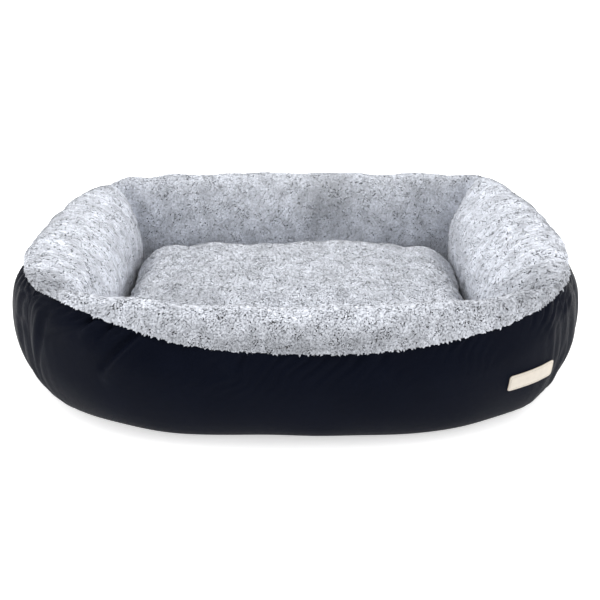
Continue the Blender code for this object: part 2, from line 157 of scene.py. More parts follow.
def nearest_clump(points: Array, size: float, seed: int) -> tuple[Array, Array]:
    """The nearest of the scattered clump centres, one for each cell of a lattice in space.

    Args:
        points: (n, 3) places.
        size: the lattice's pitch, in metres.
        seed: makes the same centres each run.

    Returns:
        The centre nearest to each point, and four draws that belong to that centre.
    """
    home = np.floor(points / size).astype(np.int64)
    steps = np.stack(np.meshgrid(*[np.arange(-1, 2)] * 3, indexing="ij"), axis=-1).reshape(-1, 3)
    cells = home[:, None, :] + steps[None]
    centres = (cells + lattice_draws(cells, seed, 3)) * size
    chosen = np.linalg.norm(centres - points[:, None, :], axis=-1).argmin(axis=1)
    rows = np.arange(len(points))
    return centres[rows, chosen], lattice_draws(cells[rows, chosen], seed + 1, 4)


@dataclass
class Surface:
    """A sheet as a grid of points: the first index runs along it, the second across it."""

    points: Array

    def tangents(self) -> tuple[Array, Array]:
        """Unit vectors along both of the grid's directions."""
        return unit(np.gradient(self.points, axis=0)), unit(np.gradient(self.points, axis=1))

    def normals(self) -> Array:
        """Unit normals: the cross product of the two directions."""
        along, across = self.tangents()
        return unit(np.cross(along, across))

    def cell_areas(self) -> Array:
        """The area of each cell, from the cross product of its diagonals."""
        p = self.points
        first, second = p[1:, 1:] - p[:-1, :-1], p[1:, :-1] - p[:-1, 1:]
        return 0.5 * np.linalg.norm(np.cross(first, second), axis=-1)

    def lengths(self) -> Array:
        """Sewing coordinates in metres: mean lengths along and across the cloth, as (..., 2)."""
        steps = [np.linalg.norm(np.diff(self.points, axis=axis), axis=-1) for axis in (0, 1)]
        means = [step.mean(axis=1 - axis) for axis, step in enumerate(steps)]
        runs = [np.concatenate([[0], mean.cumsum()]) for mean in means]
        return np.stack(np.meshgrid(*runs, indexing="ij"), axis=-1)

    def scatter(self, count: int, density: Array, seed: int) -> Array:
        """Evenly spread places on the sheet, from a two-step inverse of the area's running sum.

        Args:
            count: how many places.
            density: relative density of each cell.
            seed: start of the even sequence.

        Returns:
            (count, 2) grid coordinates.
        """
        weights = self.cell_areas() * density
        rows = weights.sum(axis=1)
        number = np.arange(1, count + 1) + 1000 * seed
        first, second = (number * 0.7548776662466927) % 1, (number * 0.5698402909980532) % 1
        row_sum = np.concatenate([[0], rows.cumsum()]) / rows.sum()
        a = np.interp(first, row_sum, np.arange(len(row_sum)))
        row = np.minimum(a.astype(int), len(rows) - 1)
        sums = np.concatenate([np.zeros((len(rows), 1)), weights.cumsum(axis=1)], axis=1)
        sums /= np.maximum(sums[:, -1:], TINY)
        column = (sums[row] <= second[:, None]).sum(axis=1) - 1
        column = np.clip(column, 0, weights.shape[1] - 1)
        low, high = sums[row, column], sums[row, column + 1]
        return np.stack([a, column + (second - low) / np.maximum(high - low, TINY)], axis=-1)

    def read(self, values: Array, places: Array) -> Array:
        """Values of the grid at grid coordinates, straight-line between its points."""
        a, b = places[:, 0], places[:, 1]
        i = np.clip(a.astype(int), 0, values.shape[0] - 2)
        j = np.clip(b.astype(int), 0, values.shape[1] - 2)
        s, t = (a - i)[:, None], (b - j)[:, None]
        return (
            values[i, j] * (1 - s) * (1 - t)
            + values[i + 1, j] * s * (1 - t)
            + values[i, j + 1] * (1 - s) * t
            + values[i + 1, j + 1] * s * t
        )

    def moved(self, distance: Array | float) -> "Surface":
        """The sheet moved along its normals."""
        return Surface(self.points + self.normals() * np.asarray(distance)[..., None])


@dataclass
class Shape:
    """Triangles with their sewing coordinates and their numbers per vertex."""

    points: Array
    triangles: Triangles
    sewing: Array
    numbers: dict[str, Array] = field(default_factory=dict)
    facing: Array | None = None

    @staticmethod
    def joined(shapes: Sequence["Shape"]) -> "Shape":
        """One shape of several, keeping every number."""
        starts = np.cumsum([0] + [len(s.points) for s in shapes[:-1]])
        names = {name for s in shapes for name in s.numbers}
        faced = all(s.facing is not None for s in shapes)

        def every(name: str) -> Array:
            return np.concatenate([s.numbers.get(name, np.zeros(len(s.points))) for s in shapes])

        return Shape(
            np.concatenate([s.points for s in shapes]),
            np.concatenate([s.triangles + start for s, start in zip(shapes, starts)]),
            np.concatenate([s.sewing for s in shapes]),
            {name: every(name) for name in names},
            np.concatenate([s.facing for s in shapes]) if faced else None,
        )

    def piece(self, name: str, material: Material) -> bpy.types.Object:
        """A smooth mesh object at the origin."""
        mesh = bpy.data.meshes.new(name)
        mesh.from_pydata(self.points, [], self.triangles)
        corners = np.empty(len(mesh.loops), np.int32)
        mesh.loops.foreach_get("vertex_index", corners)
        layer = mesh.uv_layers.new(name="cloth")
        layer.uv.foreach_set("vector", self.sewing[corners].astype(np.float32).ravel())
        for key, values in self.numbers.items():
            attribute = mesh.attributes.new(key, "FLOAT", "POINT")
            attribute.data.foreach_set("value", values.astype(np.float32))
        mesh.materials.append(material)
        mesh.update()
        mesh.shade_smooth()
        if self.facing is None:
            mesh.set_sharp_from_angle(angle=SHARP_CLOTH)
        else:
            mesh.normals_split_custom_set_from_vertices(self.facing)
        made = bpy.data.objects.new(name, mesh)
        bpy.context.scene.collection.objects.link(made)
        return made


def halved(a: Triangles, b: Triangles, c: Triangles, d: Triangles) -> Triangles:
    """Two triangles for each four-sided face a, b, c, d."""
    halves = [np.stack(corners, -1).reshape(-1, 3) for corners in ((a, b, c), (a, c, d))]
    return np.concatenate(halves)


def grid_triangles(rows: int, columns: int, wrap: bool = False) -> Triangles:
    """Triangles of a grid of points, closed across the columns if wrap is set."""
    index = np.arange(rows * columns).reshape(rows, columns)
    if wrap:
        index = np.concatenate([index, index[:, :1]], axis=1)
    return halved(index[:-1, :-1], index[1:, :-1], index[1:, 1:], index[:-1, 1:])


def thick_sheet(outer: Surface, inner: Surface) -> Shape:
    """A closed sheet between an outer grid, whose normals point out, and an inner one behind it."""
    rows, columns = outer.points.shape[:2]
    count = rows * columns
    faces = grid_triangles(rows, columns)
    index = np.arange(count).reshape(rows, columns)
    rim = np.concatenate([index[0], index[1:, -1], index[-1, -2::-1], index[-2:0:-1, 0]])
    after = np.roll(rim, -1)
    walls = halved(rim, after, after + count, rim + count)
    sewing = outer.lengths().reshape(-1, 2)
    return Shape(
        np.concatenate([outer.points.reshape(-1, 3), inner.points.reshape(-1, 3)]),
        np.concatenate([faces, faces[:, ::-1] + count, walls]),
        np.concatenate([sewing, sewing]),
    )


def swept(path: Array, radius: Array | float, sides: int) -> Shape:
    """A tube along a path: rings square to the path, radius times (cos a, sin a), with closed ends.

    Args:
        path: (n, 3) points, or (m, n, 3) for m tubes alike.
        radius: of the tube, one or one for each point.
        sides: of each ring.

    Returns:
        The tubes as one shape.
    """
    path = path if path.ndim == 3 else path[None]
    count, length = path.shape[:2]
    direction = unit(np.gradient(path, axis=1))
    helper = np.where(np.abs(direction[..., 2:]) < 0.9, [0.0, 0.0, 1.0], [1.0, 0.0, 0.0])
    first = unit(np.cross(direction, helper))
    second = np.cross(direction, first)
    turn = np.linspace(0, 2 * math.pi, sides, endpoint=False)
    wide = np.broadcast_to(np.asarray(radius, float), (count, length))[..., None, None]
    cosine, sine = np.cos(turn)[:, None], np.sin(turn)[:, None]
    rings = first[..., None, :] * cosine + second[..., None, :] * sine
    points = path[..., None, :] + wide * rings
    index = np.arange(length * sides).reshape(length, sides)
    index = np.concatenate([index, index[:, :1]], axis=1)
    fan = np.arange(1, sides - 1)
    start, end = np.zeros(sides - 2, int), np.full(sides - 2, (length - 1) * sides)
    one = np.concatenate([
        halved(index[:-1, :-1], index[:-1, 1:], index[1:, 1:], index[1:, :-1]),
        np.stack([start, fan + 1, fan], -1),
        np.stack([end, end + fan, end + fan + 1], -1),
    ])  # fmt: skip
    starts = np.arange(count)[:, None, None] * length * sides
    run = np.broadcast_to(np.linspace(0, 1, length)[None, :, None], (count, length, sides))
    around = np.broadcast_to(turn[None, None] / (2 * math.pi), (count, length, sides))
    sewing = np.stack([run.ravel(), around.ravel()], -1)
    return Shape(points.reshape(-1, 3), (one[None] + starts).reshape(-1, 3), sewing)


# Finishes


class Sketch:
    """A material's nodes, with short calls that add and join them."""

    def __init__(self, name: str) -> None:
        """Starts a material with one Principled shader."""
        self.material = bpy.data.materials.new(name)
        self.material.use_nodes = True
        self.tree = self.material.node_tree
        self.shader = self.tree.nodes["Principled BSDF"]

    def node(
        self, kind: str, inputs: dict[str | int, object] | None = None, **settings: object
    ) -> bpy.types.Node:
        """Adds a node.

        Args:
            kind: the node's type, without its ShaderNode prefix.
            inputs: socket to a number, a colour or another node's output.
            settings: the node's own properties.

        Returns:
            The node.
        """
        made = self.tree.nodes.new(f"ShaderNode{kind}")
        for key, value in settings.items():
            setattr(made, key, value)
        for key, value in (inputs or {}).items():
            self.feed(made.inputs[key], value)
        return made

    def feed(self, socket: Socket, value: object) -> None:
        """Links an output to a socket, or sets the socket's own value."""
        if isinstance(value, Socket):
            self.tree.links.new(value, socket)
        else:
            socket.default_value = value

    def maths(self, operation: str, *values: object) -> Socket:
        """The output of a Math node on these values."""
        return self.node("Math", dict(enumerate(values)), operation=operation).outputs[0]

    def number(self, name: str) -> Socket:
        """A number that the mesh carries per vertex."""
        return self.node("Attribute", attribute_name=name).outputs["Fac"]

    def ramp(self, factor: Socket, stops: Sequence[tuple[float, Colour]]) -> Socket:
        """A colour for each value of the factor, between the stops."""
        made = self.node("ValToRGB", {"Fac": factor})
        elements = made.color_ramp.elements
        for place, colour in stops[2:]:
            elements.new(place)
        for element, (place, colour) in zip(elements, sorted(stops)):
            element.position, element.color = place, (*colour, 1)
        return made.outputs["Color"]

    def noise(self, scale: float, detail: float = 2.0, at: Socket | None = None) -> Socket:
        """Noise of this many features to the metre, on Object coordinates unless others are set."""
        inputs = {"Vector": at or self.object_point(), "Scale": scale, "Detail": detail}
        return self.node("TexNoise", inputs).outputs["Fac"]

    def object_point(self) -> Socket:
        """The Object coordinates, which are the frame's."""
        return self.node("TexCoord").outputs["Object"]

    def cloth_point(self) -> Socket:
        """The piece's own sewing coordinates, in metres."""
        return self.node("UVMap", uv_map="cloth").outputs["UV"]

    def threads(self, where: Socket, pitch: float, distortion: float) -> Socket:
        """Height of a plain weave: two sets of sine threads, the higher of which shows."""
        inputs = {"Vector": where, "Scale": WAVES_PER_METRE / pitch, "Distortion": distortion}
        sets = [self.node("TexWave", inputs, bands_direction=axis) for axis in ("X", "Y")]
        return self.maths("MAXIMUM", sets[0].outputs["Fac"], sets[1].outputs["Fac"])

    def weave(self, pitch: float, turn: float = 0.0) -> Socket:
        """A plain weave on the sewing coordinates, turned by an angle."""
        inputs = {"Vector": self.cloth_point(), "Rotation": (0, 0, turn)}
        return self.threads(self.node("Mapping", inputs).outputs["Vector"], pitch, 0.4)

    def scaled(self, colour: Socket, strength: Socket) -> Socket:
        """A colour times a number."""
        inputs = {0: colour, "Scale": strength}
        return self.node("VectorMath", inputs, operation="SCALE").outputs[0]

    def bump(
        self, height: Socket, strength: float, distance: float, below: Socket | None = None
    ) -> Socket:
        """A normal from a height, on top of another normal if one is given."""
        inputs = {"Height": height, "Strength": strength, "Distance": distance}
        if below is not None:
            inputs["Normal"] = below
        return self.node("Bump", inputs).outputs["Normal"]

    def finish(self, **sockets: object) -> Material:
        """Sets the shader's sockets, written with _ for a space, and ends the material."""
        for key, value in sockets.items():
            self.feed(self.shader.inputs[key.replace("_", " ")], value)
        return self.material


def tinted(colour: Colour, factor: float) -> Colour:
    """The colour times a factor, at most 1."""
    return tuple(min(1.0, factor * part) for part in colour)


@dataclass(frozen=True)
class PlushFinish:
    """Frosted plush: dark at the root, silver at the tip, with lighter and darker tufts.

    The streaks squeeze the hairs' noise along X, Y and Z: below 1 draws it out along that axis.
    """

    root: Colour = (0.47, 0.49, 0.55)
    middle: Colour = (0.66, 0.685, 0.745)
    tip: Colour = (0.785, 0.815, 0.885)
    streaks: tuple[float, float, float] = (1.0, 1.0, 1.0)
    # Painted light: a factor on the whole colour, for lighter and darker copies of the one plush.
    light: float = 1.0

    def material(self, name: str) -> Material:
        """The finish, on the numbers pile (0 root, 1 tip) and shade (0 dark tuft, 1 light tuft,
        lower still under painted shade), times light, a painted light factor.
        """
        s = Sketch(name)
        pile = s.number("pile")
        colour = s.ramp(pile, [(0.0, self.root), (1.0, self.tip), (0.45, self.middle)])
        inputs = {0: s.object_point(), 1: self.streaks}
        combed = s.node("VectorMath", inputs, operation="MULTIPLY").outputs[0]
        patches = s.maths("MULTIPLY_ADD", s.noise(42.0, 5.0), 0.90, 0.48)
        hairs = s.maths("MULTIPLY_ADD", s.noise(250.0, 3.0, combed), 1.10, 0.44)
        # Tuft tone, with the painted shade that the shade number carries.
        tuft = s.maths("MULTIPLY_ADD", s.number("shade"), 0.24, 0.80)
        grain = s.maths("MULTIPLY", patches, hairs)
        # The light factor paints this copy lighter or darker: painted light.
        strength = s.maths("MULTIPLY", s.maths("MULTIPLY", grain, tuft), 1.10 * self.light)
        return s.finish(
            Base_Color=s.scaled(colour, strength), Roughness=0.92, Specular_IOR_Level=0.15,
            Sheen_Weight=0.22, Sheen_Roughness=0.45,
        )  # fmt: skip


@dataclass(frozen=True)
class SatinNylonFinish:
    """Tightly woven blue-black nylon with a soft sheen along its folds."""

    colour: Colour = (0.0026, 0.0036, 0.0080)
    worn: Colour = (0.0046, 0.0062, 0.0130)
    pitch: float = 0.0006

    def material(self, name: str) -> Material:
        """The finish, with the weave on the panel's sewing coordinates."""
        s = Sketch(name)
        cloudy = s.noise(14.0, 4.0)
        fine = s.noise(900.0, 2.0)
        weave = s.weave(self.pitch, 0.02)
        threads = s.maths("MULTIPLY", cloudy, fine)
        colour = s.ramp(threads, [(0.05, self.colour), (0.55, self.worn)])
        crinkle = s.bump(s.noise(160.0, 5.0), 0.22, 0.0012)
        normal = s.bump(weave, 0.35, 0.0003, crinkle)
        rough = s.maths("MULTIPLY_ADD", cloudy, 0.16, 0.34)
        return s.finish(
            Base_Color=colour, Roughness=rough, Normal=normal, Specular_IOR_Level=0.019
        )


@dataclass(frozen=True)
class WovenFinish:
    """A matt woven cloth, such as the base, the lining, a case or a tape."""

    colour: Colour
    pitch: float
    roughness: float = 0.85
    on_cloth: bool = True

    def material(self, name: str) -> Material:
        """The finish, its threads on sewing coordinates, or on Object ones where it has none."""
        s = Sketch(name)
        if self.on_cloth:
            threads = s.weave(self.pitch)
        else:
            threads = s.threads(s.object_point(), self.pitch, 0.5)
        half = s.maths("MULTIPLY", threads, 0.5)
        mottled = s.maths("MULTIPLY_ADD", s.noise(60.0, 4.0), 0.5, half)
        stops = [(0.15, tinted(self.colour, 0.62)), (0.85, tinted(self.colour, 1.22))]
        normal = s.bump(threads, 0.6, self.pitch / 2)
        return s.finish(
            Base_Color=s.ramp(mottled, stops), Roughness=self.roughness, Normal=normal,
            Specular_IOR_Level=0.25, Sheen_Weight=0.1,
        )  # fmt: skip


@dataclass(frozen=True)
class FibreFinish:
    """Loose white polyester fibre, as in the fills and the wadding."""

    colour: Colour = (0.85, 0.85, 0.84)

    def material(self, name: str) -> Material:
        """The finish: tangled strands from two stretched noises."""
        s = Sketch(name)
        strands = s.maths("MULTIPLY", s.noise(260.0, 6.0), s.noise(90.0, 3.0))
        colour = s.ramp(strands, [(0.1, tinted(self.colour, 0.8)), (0.5, self.colour)])
        normal = s.bump(strands, 0.7, 0.002)
        return s.finish(Base_Color=colour, Roughness=0.95, Normal=normal, Sheen_Weight=0.3)


@dataclass(frozen=True)
class PatchFinish:
    """Beige woven patch, paler in the middle and darker along its pressed edge."""

    colour: Colour = (0.66, 0.60, 0.52)
    edge: Colour = (0.42, 0.36, 0.29)

    def material(self, name: str) -> Material:
        """The finish, on the number rim (0 in the middle, 1 at the edge)."""
        s = Sketch(name)
        weave = s.weave(0.0008)
        rim = s.number("rim")
        colour = s.ramp(rim, [(0.55, self.colour), (0.92, self.edge)])
        ridges = s.maths("MULTIPLY_ADD", weave, 0.12, 0.80)
        worn = s.maths("MULTIPLY_ADD", s.noise(120.0, 4.0), 0.22, ridges)
        mixed, normal = s.scaled(colour, worn), s.bump(weave, 0.5, 0.0004)
        return s.finish(Base_Color=mixed, Roughness=0.6, Normal=normal, Sheen_Weight=0.08)


@dataclass(frozen=True)
class ThreadFinish:
    """Twisted sewing thread."""

    colour: Colour

    def material(self, name: str) -> Material:
        """The finish: the twist is a fine slanted wave along the stitch."""
        s = Sketch(name)
        inputs = {"Vector": s.cloth_point(), "Scale": 2.0}
        twist = s.node("TexWave", inputs, bands_direction="DIAGONAL").outputs["Fac"]
        colour = s.ramp(twist, [(0.2, tinted(self.colour, 0.6)), (0.8, self.colour)])
        normal = s.bump(twist, 0.4, 0.0002)
        return s.finish(Base_Color=colour, Roughness=0.55, Normal=normal, Sheen_Weight=0.15)


@dataclass(frozen=True)
class CoilFinish:
    """Moulded black nylon of the zip's coil."""

    colour: Colour = (0.018, 0.020, 0.026)

    def material(self, name: str) -> Material:
        """The finish: smooth with a faint flow grain."""
        s = Sketch(name)
        grain = s.noise(1500.0, 3.0)
        rough = s.maths("MULTIPLY_ADD", grain, 0.2, 0.28)
        normal = s.bump(grain, 0.1, 0.0001)
        return s.finish(Base_Color=(*self.colour, 1), Roughness=rough, Normal=normal)


@dataclass(frozen=True)
class PlatedFinish:
    """Dark nickel plate, a little brighter and rougher where it is handled."""

    colour: Colour = (0.30, 0.30, 0.31)

    def material(self, name: str) -> Material:
        """The finish: fine brushing along X and smudges."""
        s = Sketch(name)
        inputs = {"Vector": s.object_point(), "Scale": (0.15, 1.0, 1.0)}
        long = s.node("Mapping", inputs).outputs["Vector"]
        brushed = s.noise(6000.0, 3.0, long)
        smudged = s.noise(350.0, 3.0)
        stops = [(0.3, tinted(self.colour, 0.75)), (0.75, tinted(self.colour, 1.3))]
        colour = s.ramp(smudged, stops)
        rough = s.maths("MULTIPLY_ADD", smudged, 0.25, 0.18)
        normal = s.bump(brushed, 0.15, 0.0001)
        return s.finish(Base_Color=colour, Metallic=1.0, Roughness=rough, Normal=normal)


class Palette:
    """The bed's materials, each made once."""

    def __init__(self) -> None:
        """Makes every material."""
        self.plush = PlushFinish().material("plush")
        # Painted light: the side rolls' copy is painted lighter and the cushion's copy darker than
        # the plush.
        self.plush_side_lit = PlushFinish(streaks=(0.20, 1.10, 0.20), light=1.09).material("plush_side_lit")
        self.plush_cushion_shaded = PlushFinish(light=0.88).material("plush_cushion_shaded")
        self.nylon = SatinNylonFinish().material("satin_nylon")
        canvas = WovenFinish((0.020, 0.021, 0.024), 0.0011, on_cloth=False)
        self.canvas = canvas.material("base_canvas")
        lining = WovenFinish((0.12, 0.13, 0.15), 0.0009, on_cloth=False)
        self.lining = lining.material("floor_lining")
        self.case = WovenFinish((0.80, 0.80, 0.80), 0.0008).material("case_cloth")
        self.fibre = FibreFinish().material("polyester_fibre")
        self.patch = PatchFinish().material("woven_patch")
        self.thread = ThreadFinish((0.46, 0.40, 0.33)).material("patch_thread")
        self.tape = WovenFinish((0.015, 0.017, 0.024), 0.0007, 0.75).material("zip_tape")
        self.coil = CoilFinish().material("zip_coil")
        self.plated = PlatedFinish().material("plated_metal")


# The bed's form


@dataclass(frozen=True)
class BedForm:
    """The sizes of the walls and the surfaces they give. Places along a wall run from -1 to 1."""

    half_length: float = 0.45
    half_depth: float = 0.33
    side_wall: float = 0.155
    end_wall: float = 0.115
    back_height: float = 0.210
    back_left_height: float = 0.212
    back_right_height: float = 0.226
    front_height: float = 0.205
    belly: float = 0.092
    outer_foot: float = 0.050
    inner_foot: float = 0.028
    crest: float = 0.39
    power: float = 2.65
    corner_seam: float = 0.87
    seam_front: float = 0.343
    seam_corner: float = 0.42
    seam_left: float = 0.075
    seam_left_drop: float = 0.6
    seam_swell: float = 0.012
    pile: float = 0.0075
    shell_dip: float = 0.0065
    shell_dip_reach: float = 0.09
    floor_top: float = 0.0128
    end_room: float = 0.0004

    def outer(self, wall: Wall, u: Array) -> tuple[Array, Array]:
        """The outline over the bellies: a superellipse |x/a|^n + |y/b|^n = 1."""

        def other(share: Array) -> Array:
            return (1 - np.abs(share) ** self.power) ** (1 / self.power)

        if not wall.is_side:
            across = self.corner_seam * u
            return self.half_length * across, wall.sign * self.half_depth * other(across)
        along = other(np.array(self.corner_seam)) * u
        return wall.sign * self.half_length * other(along), self.half_depth * along

    def inner(self, wall: Wall, u: Array) -> tuple[Array, Array]:
        """The edge of the well at the inner bellies: a rectangle."""
        well_x, well_y = self.half_length - self.side_wall, self.half_depth - self.end_wall
        if not wall.is_side:
            return well_x * u, np.full_like(u, wall.sign * well_y)
        return np.full_like(u, wall.sign * well_x), well_y * u

    def height(self, wall: Wall, u: Array) -> Array:
        """Height of the crest: level at the front, rising to the back's corners."""
        if wall is Wall.FRONT:
            return np.full_like(u, self.front_height)
        if wall is Wall.BACK:
            corner = np.where(u < 0, self.back_left_height, self.back_right_height)
            return self.back_height + (corner - self.back_height) * np.abs(u) ** 3
        corner = self.back_left_height if wall is Wall.LEFT else self.back_right_height
        return self.front_height + (corner - self.front_height) * (u + 1) / 2

    def section(self, wall: Wall, u: Array, p: Array) -> tuple[Array, Array]:
        """Across and up for a place p from 0 to 1 on the four quarter ellipses."""
        (xo, yo), (xi, yi) = self.outer(wall, u), self.inner(wall, u)
        width = np.hypot(xi - xo, yi - yo)
        crest, height = self.crest * width, self.height(wall, u)
        quarter = np.minimum((p * 4).astype(int), 3)
        turn = (p * 4 - quarter) * math.pi / 2
        rising, falling = np.sin(turn), np.cos(turn)
        across = np.choose(quarter, [
            self.outer_foot * (1 - rising),
            crest * (1 - falling),
            crest + (width - crest) * rising,
            width - self.inner_foot * (1 - falling),
        ])  # fmt: skip
        up = np.choose(quarter, [
            self.belly * (1 - falling),
            self.belly + (height - self.belly) * rising,
            self.belly + (height - self.belly) * falling,
            self.belly * (1 - rising),
        ])  # fmt: skip
        return across, up

    def points(self, wall: Wall, u: Array, p: Array, depth: Array | float) -> Array:
        """Points this deep below the wall's surface, square to it in the plane of its section."""
        u, p, depth = np.broadcast_arrays(u, p, depth)
        step = 1e-4
        before = self.section(wall, u, np.clip(p - step, 0, 1))
        after = self.section(wall, u, np.clip(p + step, 0, 1))
        run, rise = after[0] - before[0], after[1] - before[1]
        long = np.hypot(run, rise)
        across, up = self.section(wall, u, p)
        across, up = across + depth * rise / long, up - depth * run / long
        (xo, yo), (xi, yi) = self.outer(wall, u), self.inner(wall, u)
        width = np.hypot(xi - xo, yi - yo)
        x, y = xo + (xi - xo) / width * across, yo + (yi - yo) / width * across
        return np.stack([x, y, up], axis=-1)

    def seam(self, wall: Wall, u: Array) -> Array:
        """The place where plush meets shell: low at the front's middle, highest at its left end."""
        if wall is Wall.FRONT:
            left = np.clip(-u, 0, 1)
            climb = self.seam_left * left**2 * (1 - self.seam_left_drop * left**8)
            climb = climb + self.seam_swell * bump_at(np.abs(u), 0.62, 0.25)
            return self.seam_front + (self.seam_corner - self.seam_front) * np.abs(u) ** 4 + climb
        if wall is Wall.LEFT:
            climb = self.seam_left * (1 - self.seam_left_drop)
            return self.seam_corner + climb * ((1 - u) / 2) ** 6
        return np.full_like(u, self.seam_corner)

    def inner_end(self) -> float:
        """The place on the inner face where the plush reaches the lining."""
        turn = math.asin(1 - (self.floor_top + 0.0003) / self.belly)
        return 0.75 + 0.25 * turn / (math.pi / 2)

    def half_run(self, wall: Wall) -> float:
        """Half a wall's length, from its middle to a corner seam."""
        return 0.205 if wall.is_side else 0.385

    def dip(self, wall: Wall, u: Array, p: Array) -> Array:
        """How far the shell is drawn in under the plush's edge."""
        return self.shell_dip * smoothstep(1 - (self.seam(wall, u) - p) / self.shell_dip_reach)


@dataclass(frozen=True)
class Furrow:
    """A crease in the cloth along a straight line between two points of a wall, in metres.

    A point is (along, up): along from the wall's middle, up the section from the outer foot.
    """

    wall: Wall
    start: tuple[float, float]
    end: tuple[float, float]
    width: float
    depth: float

    def give(self, along: Array, up: Array) -> Array:
        """Depth exp(-(d / width)^2) times the furrow's depth, for d the distance to its line."""
        first, last = np.array(self.start), np.array(self.end)
        line = last - first
        place = np.stack([along, up], axis=-1) - first
        share = np.clip(place @ line / (line @ line), 0, 1)
        distance = np.linalg.norm(place - share[..., None] * line, axis=-1)
        tapered = 1 - 0.5 * (2 * share - 1) ** 2
        return self.depth * np.exp(-((distance / self.width) ** 2)) * tapered


